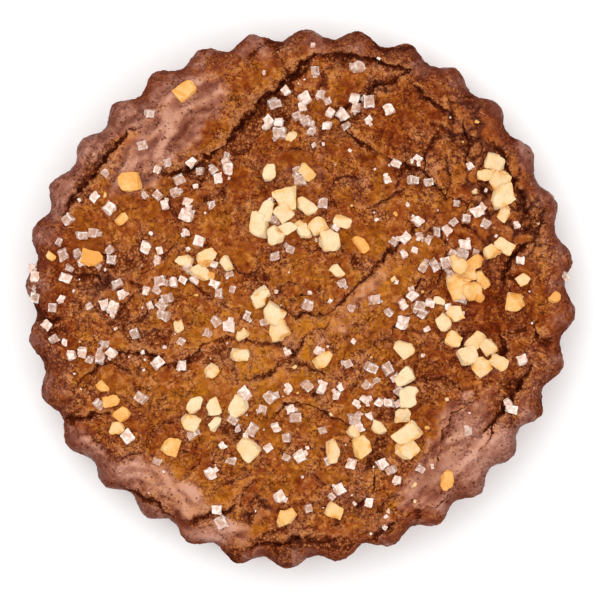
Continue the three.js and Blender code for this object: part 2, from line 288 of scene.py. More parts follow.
# Drifts of chopped nuts: x, y, half-length, half-width, direction, pieces, size, toasting
NUT_DRIFTS = [
    (0, 14.5, 9.5, 4.2, -8, 11, 1.2, 0.12),
    (12, 10, 0, 0, 0, 1, 1.2, 0.85),
    (7.5, 4.6, 2.6, 0.5, 105, 2, 1.05, 0.15),
    (38.8, 20.6, 6.5, 2.4, 108, 5, 1.15, 0.3),
    (33, 3.8, 5.2, 3, 10, 6, 1.2, 0.6),
    (39.2, 9, 2.4, 0.8, 0, 2, 1, 0.3),
    (41.3, -2, 2, 0.8, 70, 2, 1.2, 0.65),
    (43.4, 3.2, 0, 0, 0, 1, 0.8, 0.3),
    (35, -11.7, 4.2, 2.8, -35, 5, 1.15, 0.2),
    (28.5, -4.5, 4.5, 2.8, 90, 4, 0.9, 0.2),
    (21, -19, 11, 1.6, 90, 6, 1.2, 0.12),
    (9.5, -30.2, 4.6, 3, 80, 3, 1.2, 0.3),
    (15.5, -25.6, 0, 0, 0, 1, 0.95, 0.1),
    (6.8, -41.6, 0, 0, 0, 1, 1.15, 0.5),
    (-17.3, -22.3, 6.2, 2.8, 8, 6, 1.05, 0.12),
    (-10, -29, 2, 0.3, 90, 2, 1.35, 0.35),
    (-24.9, -29.1, 0, 0, 0, 1, 0.95, 0.5),
    (-6, -2.6, 5.5, 1.8, 112, 4, 1.15, 0.15),
    (-11.5, -9.3, 2.8, 0.5, 80, 2, 0.95, 0.25),
    (-18, 6.8, 6, 2.6, 15, 4, 1, 0.2),
    (-36.3, -21.3, 5, 3.2, -60, 4, 0.85, 0.65),
    (-33, 22.2, 0, 0, 0, 1, 1.5, 0.7),
    (-40.2, 7.3, 0, 0, 0, 1, 1.3, 0.95),
    (-34.6, 14.9, 0, 0, 0, 1, 0.7, 0.6),
    (-48.4, 7.8, 0, 0, 0, 1, 0.75, 0.6),
    (-22, 39.7, 0, 0, 0, 1, 1.15, 0.85),
    (28.6, -35.8, 0, 0, 0, 1, 1.15, 0.85),
    (-2.5, -42.9, 0, 0, 0, 1, 1, 0.4),
    (49.6, -0.4, 0, 0, 0, 1, 0.75, 0.7),
    (-23.5, -5.9, 0, 0, 0, 1, 1.05, 0.05),
    (4.6, -12.3, 0, 0, 0, 1, 1.1, 0.5),
    (1.5, 24, 0, 0, 0, 1, 0.95, 0.35),
    (-6, 24, 0, 0, 0, 1, 0.85, 0.2),
    (-17.1, -14.7, 0, 0, 0, 1, 0.95, 0.3),
    (-1.7, 30.9, 0, 0, 0, 1, 0.7, 0.2),
]
NUT_GAP = 2.7
NUT_LENGTH = 3.7
NUT_SUNK = 0.28
NUT_TILT = 0.3

# Drifts of coarse sugar: x, y, half-length, half-width, direction, pieces
SUGAR_DRIFTS = [
    (-51.6, 3, 4.5, 0.3, 94, 4),
    (51.9, 3.5, 1.5, 0.2, 90, 1),
    (0, 34.5, 7, 6, 0, 13),
    (9, 36, 5, 4, 0, 5),
    (-42, 0, 17, 8, 90, 24),
    (-19.5, -1, 10, 8, 0, 16),
    (25.5, 10, 10, 5, -10, 16),
    (25.5, -3, 9, 4, 0, 9),
    (15.5, -20.5, 7, 6, 90, 14),
    (-5, -25, 9, 8, 90, 14),
    (-21.5, 22.5, 10, 5, 25, 14),
    (0, 0, 48, 47, 0, 90),
]
SUGAR_GAP = 1.7
SUGAR_NUT_GAP = 1.6
SUGAR_LENGTH = (1.4, 2.4)
SUGAR_SUNK = 0.33
SUGAR_TILT = 0.4

# Small crumbs of nut and sugar: shortest and longest, how deep they sit, their tilt, gap to the edge
NUT_CRUMB = (0.5, 1.3)
SUGAR_CRUMB = (0.35, 1.1)
CRUMB_SUNK = 0.2
CRUMB_TILT = 0.6
CRUMB_INSET = 3

# Chipping of the nuts in millimetres, and of the sugar as shares of a grain's length
NUT_SPLITS = (1.0, 0.5)
NUT_SOFT_ROUNDS = 1
NUT_BUMP_SIZE = 1.4
NUT_BUMP_HEIGHT = 0.22
SUGAR_SPLITS = (0.5, 0.3)
SUGAR_SOFT_ROUNDS = 2
SUGAR_BUMP_SIZE = 0.5
SUGAR_BUMP_HEIGHT = 0.13

# Angles in degrees between faces: those that stay sharp, those that wear, those that count as flat
NUT_SHARP = 38
SUGAR_SHARP = 30
WORN_FROM = 12
FLAT_TO = 10

# Crust's mesh: rings of the underside as shares of the radius, curve of the lip, masks of the plain side
UNDERSIDE_RINGS = (0.2, 0.45, 0.7, 0.88)
UNDERSIDE_CORNERS = 24
FOOT_BENDS = 3
FOOT_FLAT = 0.6
WALL_SPACING = 1.15
LIP_CURVE = 5.2
TOP_FROM = -0.4
TOP_FULL = 2
SIDE_MASKS = {
    "aside": CRACK_FAR,
    "along": 0,
    "half_width": CRACK_HALF,
    "crease": 1,
    "seam": 1,
    "broken": 0,
    "cobble": 0,
    "crumble": 0.5,
    "skin": 0,
    "tear": 0.6,
}

# Bumps of the side, and the eased surfaces that fine and bold relief are measured from; that relief is
# painted on the crust as light on crests and shade in hollows
SIDE_BUMP_SIZE = 2.2
SIDE_BUMP_HEIGHT = 0.3
SIDE_DRAWN_IN = 0.1
FINE_ROUNDS = 8
FINE_HEIGHT = 0.1
BOLD_ROUNDS = 70
BOLD_HEIGHT = 0.4

# Looks of the sugar: size and start of its clouds, weight of edges, clouds and grain, roughness, cover
FROSTED = {
    "cloud_size": 0.9,
    "cloud_from": 0.35,
    "edges": 0.6,
    "clouds": 0.6,
    "grain": 1.2,
    "rough": 0.4,
    "cover": 0.72,
    "cover_rise": 0.35,
}
CLEAR = {
    "cloud_size": 0.8,
    "cloud_from": 0.4,
    "edges": 1.1,
    "clouds": 0.4,
    "grain": 0.8,
    "rough": 0.3,
    "cover": 0.36,
    "cover_rise": 0.48,
}
CLOUD_EDGE = 0.3

# Table, lights and camera, in metres
TABLE_SIZE = 4
TABLE_PARTS = 8
TABLE_SHADED = 0.985
KEY_PLACE = (-0.5, 0.5, 0.85)
KEY_SIZE = 1.2
FILL_PLACE = (0.7, -0.4, 0.6)
FILL_SIZE = 0.8
CAMERA_ASIDE = (0.06 * MM, -0.78 * MM)
SENSOR_WIDTH = 36

TRIES = 40
SEED = 1809
SCENE_SEED = 77


def tint(red, green, blue):
    """Linear colour from 0 to 255 screen values."""
    parts = [c / 255 for c in (red, green, blue)]
    return tuple(c / 12.92 if c <= 0.04045 else ((c + 0.055) / 1.055) ** 2.4 for c in parts)


def lerp(low, high, part):
    return low + (high - low) * part


def smooth(low, high, value):
    """Smooth step from 0 at low to 1 at high."""
    part = np.clip((value - low) / (high - low), 0, 1)
    return part * part * (3 - 2 * part)


class Draws:
    """Seeded draws between 0 and 1."""

    def __init__(self, seed):
        self.state = seed

    def __call__(self):
        self.state = (self.state * 1664525 + 1013904223) & 0xFFFFFFFF
        return self.state / 4294967296


def waves(rows, angle):
    return sum(h * np.cos(n * (angle - math.radians(crest))) for n, h, crest in rows)


def smooth_radius(angle):
    return RADIUS + waves(EDGE_WAVES, angle)


def flute_wave(angle):
    """1 on the crest of each flute and -1 between two."""
    return np.cos(FLUTES * (angle - np.radians(FLUTE_TURN + waves(FLUTE_DRIFT, angle))))


def edge_radius(angle, inset):
    """Radius of a line that runs round the cookie a given distance inside its edge."""
    fade = np.maximum(0, 1 - inset / FLUTE_FADE) ** 2
    return smooth_radius(angle) + 0.5 * FLUTE_DEPTH * flute_wave(angle) * fade - inset


def zones(rows, x, y):
    """Sum of soft oval zones at points of the top."""
    total = 0 * x
    for zx, zy, length, width, direction, amount in rows:
        c = math.cos(math.radians(direction))
        s = math.sin(math.radians(direction))
        along = ((x - zx) * c + (y - zy) * s) / length
        aside = ((y - zy) * c - (x - zx) * s) / width
        total = total + amount * np.exp(-along * along - aside * aside)
    return total


def top_height(x, y, inset):
    across = (x * x + y * y) / (RADIUS * RADIUS)
    lip = 1 - np.clip(inset / LIP_WIDTH, 0, 1)
    height = RIM_HEIGHT + CROWN * (1 - across)
    height = height - LIP_DROP * (1 - np.sqrt(1 - lip * lip))
    return height + zones(SWELLS, x, y)


def surface_height(x, y):
    return top_height(x, y, smooth_radius(math.atan2(y, x)) - math.hypot(x, y))


def crack_path(row, draw):
    """Points of one crack with its width and depth at each."""
    x0, y0, x1, y1, bow, width, depth = row
    length = math.hypot(x1 - x0, y1 - y0)
    aside = (-(y1 - y0) / length, (x1 - x0) / length)
    steps = max(3, int(length / CRACK_STEP + 0.5))
    path = []
    for i in range(steps + 1):
        part = i / steps
        swing = math.sin(math.pi * part)
        stray = bow * swing + CRACK_WOBBLE * (2 * draw() - 1)
        size = lerp(CRACK_TIP, 1, math.sqrt(max(swing, 0))) * (0.8 + 0.4 * draw())
        x = lerp(x0, x1, part) + aside[0] * stray
        y = lerp(y0, y1, part) + aside[1] * stray
        path.append((x, y, width * size, depth * size))
    return path


def scatter(drifts, gap, others, other_gap, draw):
    """Places in the drifts, kept apart, each with its drift's row."""
    places = []
    for row in drifts:
        x, y, along, aside, direction, count = row[:6]
        c = math.cos(math.radians(direction))
        s = math.sin(math.radians(direction))
        for _ in range(count):
            for _ in range(TRIES):
                reach = math.sqrt(draw())
                turn = 2 * math.pi * draw()
                u = along * reach * math.cos(turn)
                v = aside * reach * math.sin(turn)
                px = x + u * c - v * s
                py = y + u * s + v * c
                free = all(math.hypot(px - a, py - b) > gap for a, b, _ in places)
                if free and all(math.hypot(px - a, py - b) > other_gap for a, b, _ in others):
                    places.append((px, py, row))
                    break
    return places


def settle(place, height, sunk, tilt, draw):
    """Turn, tilt and place of a piece on the crust."""
    tilt_x = tilt * (2 * draw() - 1)
    tilt_y = tilt * (2 * draw() - 1)
    turn = 2 * math.pi * draw()
    lift = surface_height(place[0], place[1]) + height * (0.5 - sunk)
    turned = Matrix.Rotation(turn, 4, "Z") @ Matrix.Rotation(tilt_y, 4, "Y")
    turned = turned @ Matrix.Rotation(tilt_x, 4, "X")
    return Matrix.Translation((place[0], place[1], lift)) @ turned


def nut_plan(place, draw):
    """One chopped nut: its corner points, its pose and its toasting."""
    length = NUT_LENGTH * place[2][6] * lerp(0.8, 1.2, draw())
    width = length * lerp(0.58, 0.95, draw())
    height = width * lerp(0.6, 0.85, draw())
    points = []
    for corner in range(8):
        x = (0.5 if corner & 1 else -0.5) * lerp(0.55, 1, draw())
        y = (0.5 if corner & 2 else -0.5) * lerp(0.55, 1, draw())
        z = (0.5 if corner & 4 else -0.5) * lerp(0.75, 1, draw())
        points.append(Vector((length * x, width * y, height * z)))
    for side in (-0.5, 0.5):
        skew = lerp(-0.2, 0.2, draw())
        points.append(Vector((length * side, width * skew, height * skew)))
        points.append(Vector((length * skew, width * side, -height * skew)))
    pose = settle(place, height, NUT_SUNK, NUT_TILT, draw)
    return {"points": points, "pose": pose, "length": length, "width": width, "toast": place[2][7]}


def grain_plan(place, draw):
    """One sugar grain: its sides and its pose."""
    length = lerp(SUGAR_LENGTH[0], SUGAR_LENGTH[1], draw())
    width = length * lerp(0.7, 1, draw())
    height = length * lerp(0.6, 0.9, draw())
    pose = settle(place, height, SUGAR_SUNK, SUGAR_TILT, draw)
    return {"sides": (length, width, height), "pose": pose, "length": length}


@functools.lru_cache(maxsize=None)
def bake_plan():
    """Cracks, nuts and grains, drawn in the order of the solid part."""
    draw = Draws(SEED)
    cracks = [crack_path(row, draw) for row in CRACKS]
    own = Draws(SCENE_SEED)
    cracks = cracks + [crack_path(row, own) for row in HAIRLINES]
    nut_places = scatter(NUT_DRIFTS, NUT_GAP, [], 0, draw)
    nuts = [nut_plan(place, draw) for place in nut_places]
    grain_places = scatter(SUGAR_DRIFTS, SUGAR_GAP, nut_places, SUGAR_NUT_GAP, draw)
    grains = [grain_plan(place, draw) for place in grain_places]
    return cracks, nuts, grains


def lattice(ix, iy, iz, seed):
    """Hashed value between 0 and 1 for each lattice point."""
    with np.errstate(over="ignore"):
        h = ix.astype(np.uint32) * np.uint32(374761393)
        h = h + iy.astype(np.uint32) * np.uint32(668265263)
        h = h + iz.astype(np.uint32) * np.uint32(2246822519) + np.uint32(seed * 3266489 % 2**32)
        h = (h ^ (h >> np.uint32(15))) * np.uint32(2654435761)
        h = (h ^ (h >> np.uint32(13))) * np.uint32(1274126177)
    return (h ^ (h >> np.uint32(16))) / 4294967296.0


def noise(x, y, z, seed):
    """Gradient noise, about -0.8 to 0.8."""
    cell = [np.floor(v).astype(np.int64) for v in (x, y, z)]
    part = [v - c for v, c in zip((x, y, z), cell)]
    fade = [p * p * p * (p * (p * 6 - 15) + 10) for p in part]
    total = 0
    for corner in range(8):
        step = (corner & 1, corner >> 1 & 1, corner >> 2)
        at = [c + s for c, s in zip(cell, step)]
        slope = 0
        weight = 1
        for axis in range(3):
            pull = 2 * lattice(*at, seed + 17 * axis) - 1
            slope = slope + pull * (part[axis] - step[axis])
            weight = weight * (fade[axis] if step[axis] else 1 - fade[axis])
        total = total + slope * weight
    return total * 1.4


def fractal(x, y, z, size, octaves, seed, gain=0.5):
    """Layered noise whose largest lumps are about a given size."""
    total = 0
    height = 1
    for octave in range(octaves):
        scale = 2**octave / size
        total = total + height * noise(x * scale, y * scale, z * scale + 7.3 * octave, seed + octave)
        height *= gain
    return total


def cells(x, y, size, seed):
    """Distance to the nearest and second nearest jittered cell point, and the nearest cell's value."""
    u, v = x / size, y / size
    cu, cv = np.floor(u).astype(np.int64), np.floor(v).astype(np.int64)
    near = np.full(x.shape, 9.0)
    second = np.full(x.shape, 9.0)
    value = np.zeros(x.shape)
    for du in (-1, 0, 1):
        for dv in (-1, 0, 1):
            iu, iv = cu + du, cv + dv
            flat = np.zeros_like(iu)
            pu = iu + lattice(iu, iv, flat, seed)
            pv = iv + lattice(iu, iv, flat, seed + 1)
            gap = np.hypot(u - pu, v - pv)
            closer = gap < near
            second = np.where(closer, near, np.minimum(second, gap))
            value = np.where(closer, lattice(iu, iv, flat, seed + 2), value)
            near = np.where(closer, gap, near)
    return near, second, value


def crack_fields(x, y, ragged, cracks):
    """Depth of the cracks, place across and along them, half-width, torn shoulders, strands, lifted lips."""
    slot, tear, strands, lift, run_along = (np.zeros(x.shape) for _ in range(5))
    aside, half_width = np.full(x.shape, CRACK_FAR), np.full(x.shape, CRACK_HALF)
    for number, path in enumerate(cracks):
        points = np.array(path)
        low, high = points[:, :2].min(0) - CRACK_MARGIN, points[:, :2].max(0) + CRACK_MARGIN
        pick = np.nonzero((x > low[0]) & (x < high[0]) & (y > low[1]) & (y < high[1]))[0]
        px, py = x[pick], y[pick]
        best = np.full(px.shape, np.inf)
        width, depth, side, along = (np.ones(px.shape) for _ in range(4))
        done = 0
        for a, b in zip(points[:-1], points[1:]):
            run = b[:2] - a[:2]
            part = np.clip(((px - a[0]) * run[0] + (py - a[1]) * run[1]) / (run @ run), 0, 1)
            dx, dy = px - a[0] - part * run[0], py - a[1] - part * run[1]
            gap = np.hypot(dx, dy)
            closer = gap < best
            best = np.where(closer, gap, best)
            width = np.where(closer, a[2] + part * (b[2] - a[2]), width)
            depth = np.where(closer, a[3] + part * (b[3] - a[3]), depth)
            side = np.where(closer, np.sign(run[0] * dy - run[1] * dx), side)
            along = np.where(closer, done + part * math.hypot(*run), along)
            done += math.hypot(*run)
        deep = smooth(DEEP_FROM, DEEP_TO, depth)
        half = 0.1 + 0.5 * width * (0.1 + 0.5 * ragged[pick])
        groove = SLOT_SHARE * depth * (0.3 + 0.7 * ragged[pick])
        groove = groove * np.clip(1 - best / (half + SLOT_EDGE), 0, 1)
        slot[pick] = np.maximum(slot[pick], groove)
        nearest = best < abs(aside[pick])
        aside[pick] = np.where(nearest, side * best, aside[pick])
        half_width[pick] = np.where(nearest, half, half_width[pick])
        run_along[pick] = np.where(nearest, along + 50 * number, run_along[pick])
        reach = (1.3 * width + 0.3) * np.where(side > 0, 0.6, 0.6 + 1.1 * deep)
        band = np.exp(-((best / reach) ** 2)) * np.minimum(1, depth / TEAR_FULL)
        threads = noise(side * best / STRAND_WIDTH, along / STRAND_LENGTH, 3.7 * number, 201)
        strands[pick] = np.where(band > tear[pick], threads, strands[pick])
        tear[pick] = np.maximum(tear[pick], band)
        step = np.where(side > 0, 0.3 + 0.35 * deep, -0.15 - 0.2 * deep)
        lip = np.minimum(1, depth) * np.exp(-((best / LIP_REACH) ** 2)) * step
        lift[pick] = np.where(abs(lip) > abs(lift[pick]), lip, lift[pick])
    return slot, aside, run_along, half_width, tear, strands, lift


def beds(x, y, pieces, reach):
    """Closeness of each point to the nuts or grains that lie in the crust."""
    bed = np.zeros(x.shape)
    for piece in pieces:
        px, py = piece["pose"].translation[:2]
        size = reach * piece["length"]
        pick = np.nonzero((abs(x - px) < 2 * size) & (abs(y - py) < 2 * size))[0]
        gap = np.hypot(x[pick] - px, y[pick] - py) / size
        bed[pick] = np.maximum(bed[pick], np.exp(-gap * gap))
    return bed


def crust_fields(x, y, inset, angle):
    """Relief of the top in millimetres, and the masks that colour it."""
    cracks, nuts, grains = bake_plan()
    wx = x + WARP_REACH * fractal(x, y, 3.1, WARP_SIZE, 3, 11, 0.6)
    wy = y + WARP_REACH * fractal(x, y, 8.7, WARP_SIZE, 3, 23, 0.6)
    ragged = np.clip(0.5 + 1.4 * fractal(x, y, 2.9, 1.6, 3, 37), 0, 1)
    slot, aside, along, half_width, tear, strands, lift = crack_fields(wx, wy, ragged, cracks)
    rim = smooth(RIM_INNER, RIM_OUTER, inset)

    # Smooth skin with folds that follow the edge, and open crumb
    swollen = zones(SKIN_AND_SHEEN_ZONES, x, y)
    skin = smooth(0.28, 0.72, swollen + 0.4 * fractal(x, y, 1.7, 5, 4, 31, 0.6))
    skin = skin * (1 - 0.9 * tear)
    reach = np.hypot(x, y) + 1.8 * fractal(x, y, 3.3, 6, 2, 33)
    broad_folds, fine_folds = (
        noise(reach / spacing, angle * RADIUS / stretch, 0.0, 35 + k)
        for k, (spacing, stretch) in enumerate(zip(FOLD_SPACING, FOLD_LENGTH))
    )
    folds = broad_folds + 0.5 * fine_folds
    valley = 1 - smooth(0, 0.18, abs(folds + 0.1))
    valley = valley * smooth(-0.2, 0.2, fractal(x, y, 4.8, 6, 2, 34))
    crumble = 0.06 + zones(CRUMBLES, x, y) + 0.5 * fractal(x, y, 5.2, 7, 3, 41)
    crumble = np.maximum(smooth(0.3, 0.85, crumble) * (1 - skin), 0.9 * tear)

    # Puffed plates with creases between them, and plates that have cobbled
    px = x + PLATE_WARP * fractal(x, y, 2.2, PLATE_WARP_SIZE, 4, 51)
    py = y + PLATE_WARP * fractal(x, y, 6.6, PLATE_WARP_SIZE, 4, 61)
    broken = smooth(-0.2, 0.3, fractal(x, y, 9.4, 9, 3, 81)) * (1 - 0.9 * skin)
    cobble = smooth(0.3, 0.8, zones(COBBLES, x, y) + 0.4 * fractal(x, y, 9.9, 7, 2, 75))
    crease = noise(px / PLATE_SIZE, py / PLATE_SIZE, 26.3, 71)
    puff = smooth(0, 0.32, abs(crease))
    knob = smooth(0, 0.3, abs(noise(px / KNOB_SIZE, py / KNOB_SIZE, 27.1, 73)))
    ragged_x = px + COBBLE_WARP * fractal(x, y, 1.3, COBBLE_WARP_SIZE, 3, 57, 0.6)
    ragged_y = py + COBBLE_WARP * fractal(x, y, 5.9, COBBLE_WARP_SIZE, 3, 67, 0.6)
    first, second, plate = cells(ragged_x + COBBLE_SHIFT, ragged_y, COBBLE_SIZE, 77)
    seam = (1 - smooth(0.02, 0.12, second - first)) * cobble
    plain = 1 - 0.85 * skin
    bulge = PLATE_HEIGHT * broken * (puff - 0.7) + KNOB_HEIGHT * (knob - 0.6)
    dome = 0.4 * (plate - 0.5) + 0.3 * smooth(0, 0.5, second - first)
    bulge = (bulge + dome * cobble - 0.3 * seam) * plain

    # Crumbs and grain
    crumb, _, crumb_value = cells(wx, wy, CRUMB_SIZE, 91)
    lumps = (0.5 - crumb) * (0.4 + 1.2 * crumb_value)
    grain = fractal(x, y, 4.4, GRAIN_SIZE, 3, 111, 0.65)
    mid = fractal(x, y, 7.4, LUMP_SIZE, 3, 117)
    broad = fractal(x, y, 0.6, HILL_SIZE, 2, 121)

    # Relief is lower where nuts and grains lie
    bed = np.maximum(beds(x, y, nuts, NUT_BED), 0.8 * beds(x, y, grains, SUGAR_BED))
    lobe = flute_wave(angle) * smooth(LOBE_INNER, RIM_OUTER, inset)
    rough = GRAIN_HEIGHT * grain * plain + CRUMB_HEIGHT * lumps * np.maximum(crumble, 0.5 * rim)
    rough = rough + tear * (STRAND_HEIGHT * strands - 0.1)
    relief = HILL_HEIGHT * broad + (LUMP_HEIGHT + 0.2 * rim) * mid * plain + bulge + lift + rough
    relief = relief + (FOLD_HEIGHT * folds - 0.12 * valley) * skin + LOBE_HEIGHT * lobe
    relief = relief * (1 - 0.85 * bed) - slot * (1 - 0.5 * bed)

    # Colour of the zones, with painted light on the skin's fold ridges and painted shade in its valleys; the
    # sheen of the skin and of the rim's lobes is a painted sheen, brightest on the ridges and the flutes'
    # crests
    tone = zones(TONES, x, y) + (0.6 * folds - 0.08 * valley) * skin
    tone = tone - 1.15 * rim - 0.45 * smooth(*EDGE_BROWN, inset)
    sheen = np.clip(0.85 + 0.6 * folds - 0.1 * valley + np.clip(swollen - 1.1, 0, 0.4), 0, 1.3)
    rim_sheen_noise = fractal(x, y, 6.1, 5, 3, 43) + 0.12 * flute_wave(angle)
    rim_sheen = 0.65 * smooth(0.12, 0.42, rim_sheen_noise) * rim
    return relief, {
        "aside": aside,
        "along": along,
        "half_width": half_width,
        "crease": crease,
        "seam": second - first,
        "broken": broken,
        "cobble": cobble,
        "crumble": np.maximum(crumble, 0.3 * rim * (1 - skin)),
        "rim": rim,
        # The skin mask also carries the painted sheen, strongest on the fold ridges and on the rim's lobes
        "skin": np.maximum(skin * sheen, rim_sheen),
        "tear": np.clip(0.85 * tear + 0.25 * crumble + 0.6 * rim, 0, 1),
        "tone": tone,
    }


def eased(points, faces, rounds):
    """Points averaged with their neighbours over a number of rounds."""
    start = np.concatenate([faces[:, 0], faces[:, 1], faces[:, 2]])
    end = np.concatenate([faces[:, 1], faces[:, 2], faces[:, 0]])
    count = np.bincount(start)[:, None]
    for _ in range(rounds):
        sums = [np.bincount(start, points[end, axis]) for axis in range(3)]
        points = np.column_stack(sums) / count
    return points


def standing_out(points, faces, rounds):
    """How far each point stands out of the eased surface round it, in millimetres."""
    a, b, c = (points[faces[:, corner]] for corner in range(3))
    across = np.cross(b - a, c - a)
    normals = np.zeros(points.shape)
    for corner in range(3):
        for axis in range(3):
            normals[:, axis] += np.bincount(faces[:, corner], across[:, axis], len(points))
    normals /= np.linalg.norm(normals, axis=1)[:, None]
    return ((points - eased(points, faces, rounds)) * normals).sum(1)


def stitch(sizes):
    """Triangles between neighbouring rings of points, from the underside's middle to the top's."""
    faces = []
    start = 0
    for lower, upper in zip(sizes[:-1], sizes[1:]):
        lower_steps = lower if lower > 1 else 0
        upper_steps = upper if upper > 1 else 0
        i = j = 0
        while i < lower_steps or j < upper_steps:
            a = start + i % lower
            b = start + lower + j % upper
            lower_next = (i + 1) * upper_steps <= (j + 1) * lower_steps
            if j >= upper_steps or (i < lower_steps and lower_next):
                faces.append((a, start + (i + 1) % lower, b))
                i += 1
            else:
                faces.append((a, start + lower + (j + 1) % upper, b))
                j += 1
        start += lower
    return faces


def crust_mesh(step):
    """Points, triangles and masks of the biscuit at a given spacing in millimetres."""
    edge = FLUTES * int(2 * math.pi * RADIUS / FLUTES / step + 0.5)
    around = 2 * math.pi * np.arange(edge) / edge
    ring_angles, ring_insets, ring_heights = [np.zeros(1)], [np.zeros(1)], [np.zeros(1)]
    foot = FOOT_INSET + FOOT_ROUND

    def add(angles, inset, height):
        ring_angles.append(angles)
        ring_insets.append(np.full(angles.shape, inset, float))
        ring_heights.append(np.full(angles.shape, np.nan if height is None else height, float))

    # Underside and side, whose heights are shares of the way up to the edge
    for reach in UNDERSIDE_RINGS:
        count = max(UNDERSIDE_CORNERS, int(edge * reach))
        add(2 * math.pi * np.arange(count) / count, RADIUS * (1 - reach), 0.0)
    add(around, foot + FOOT_FLAT, 0.0)
    for i in range(FOOT_BENDS + 1):
        bend = 0.5 * math.pi * i / FOOT_BENDS
        add(around, foot - FOOT_ROUND * math.sin(bend), FOOT_ROUND * (1 - math.cos(bend)))
    wall_start = len(ring_angles)
    rows = int((RIM_HEIGHT - LIP_DROP) / (step * WALL_SPACING))
    for i in range(1, rows):
        add(around, FOOT_INSET * (1 - i / rows), i / rows)
    wall_end = len(ring_angles)

    # Lip and top
    rows = int(LIP_CURVE / step)
    for i in range(rows + 1):
        add(around, LIP_WIDTH * (1 - math.cos(0.5 * math.pi * i / rows)), None)
    inset = LIP_WIDTH + step
    while inset < RADIUS - 0.7 * step:
        count = max(6, int(2 * math.pi * (RADIUS - inset) / step))
        add(2 * math.pi * np.arange(count) / count, inset, None)
        inset += step
    add(np.zeros(1), RADIUS, None)

    sizes = [len(ring) for ring in ring_angles]
    starts = np.cumsum([0] + sizes)
    angle = np.concatenate(ring_angles)
    inset = np.concatenate(ring_insets)
    height = np.concatenate(ring_heights)
    top = np.isnan(height)
    wall = np.zeros(angle.shape, bool)
    wall[starts[wall_start] : starts[wall_end]] = True
    under = ~top & ~wall

    edge_line = edge_radius(angle, 0 * inset)
    radius = np.where(top, edge_radius(angle, inset), edge_line - inset)
    radius = np.where(under & (inset > foot + 1), smooth_radius(angle) * (1 - inset / RADIUS), radius)
    radius[[0, -1]] = 0
    x, y = radius * np.cos(angle), radius * np.sin(angle)
    lip_height = top_height(edge_line * np.cos(angle), edge_line * np.sin(angle), 0 * inset)
    z = np.where(wall, FOOT_ROUND + height * (lip_height - FOOT_ROUND), np.where(under, height, 0))
    z = np.where(top, top_height(x, y, inset), z)

    relief, masks = crust_fields(x, y, inset, angle)
    share = np.where(top, smooth(TOP_FROM, TOP_FULL, inset), 0)
    side = np.where(under, np.clip(z / FOOT_ROUND, 0, 1), 1 - share)
    bumps = SIDE_BUMP_HEIGHT * fractal(x, y, z, SIDE_BUMP_SIZE, 4, 131, 0.7)
    push = side * (bumps - SIDE_DRAWN_IN)
    x = x + push * np.cos(angle)
    y = y + push * np.sin(angle)
    z = z + share * relief + np.where(top, 0.6 * push, 0)
    for label, value in SIDE_MASKS.items():
        masks[label] = np.where(top, masks[label], value)
    masks["tone"] = np.where(top, masks["tone"], -0.35 + 0.35 * fractal(x, y, z, 6, 2, 141))
    points = np.column_stack((x, y, z))
    faces = stitch(sizes)
    corners = np.array(faces)
    inner = np.where(top, smooth(0.5, 4, inset), 0)
    # What stands out of its eased surface gets painted light in the shader, and what sinks gets painted
    # shade
    fine = standing_out(points, corners, FINE_ROUNDS) / FINE_HEIGHT
    bold = standing_out(points, corners, BOLD_ROUNDS) / BOLD_HEIGHT
    masks["fine"] = np.clip(fine, -2, 2) * (0.5 + 0.5 * inner)
    masks["bold"] = np.clip(bold, -1.5, 1) * inner
    return points, faces, masks


def mesh_piece(name, points, faces, masks, material):
    """Mesh object in metres from points in millimetres, with its masks as attributes."""
    mesh = bpy.data.meshes.new(name)
    mesh.from_pydata((np.asarray(points) * MM).tolist(), [], faces)
    for label, values in masks.items():
        attribute = mesh.attributes.new(label, "FLOAT", "POINT")
        attribute.data.foreach_set("value", np.asarray(values, np.float32))
    mesh.shade_smooth()
    mesh.materials.append(material)
    piece = bpy.data.objects.new(name, mesh)
    bpy.context.scene.collection.objects.link(piece)
    return piece


def dress(piece):
    """Puts a piece on the cookie's body in place of its solid."""
    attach(piece, BODY)
    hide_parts(NODE)


class Socket:
    """A node's output, with arithmetic that adds Math nodes."""

    def __init__(self, shader, socket):
        self.shader = shader
        self.socket = socket

    def math(self, operation, *values):
        return self.shader.node("ShaderNodeMath", {"operation": operation}, dict(enumerate(values)))

    def __add__(self, other):
        return self.math("ADD", self, other)

    def __radd__(self, other):
        return self.math("ADD", other, self)

    def __sub__(self, other):
        return self.math("SUBTRACT", self, other)

    def __rsub__(self, other):
        return self.math("SUBTRACT", other, self)

    def __mul__(self, other):
        return self.math("MULTIPLY", self, other)

    def __rmul__(self, other):
        return self.math("MULTIPLY", other, self)

    def __truediv__(self, other):
        return self.math("DIVIDE", self, other)

    def size(self):
        return self.math("ABSOLUTE", self)

    def clamp(self):
        return self.shader.node("ShaderNodeClamp", {}, {"Value": self})

    def step(self, low, high):
        """Smooth step from 0 at low to 1 at high."""
        settings = {"interpolation_type": "SMOOTHSTEP"}
        return self.shader.node("ShaderNodeMapRange", settings, {"Value": self, 1: low, 2: high})


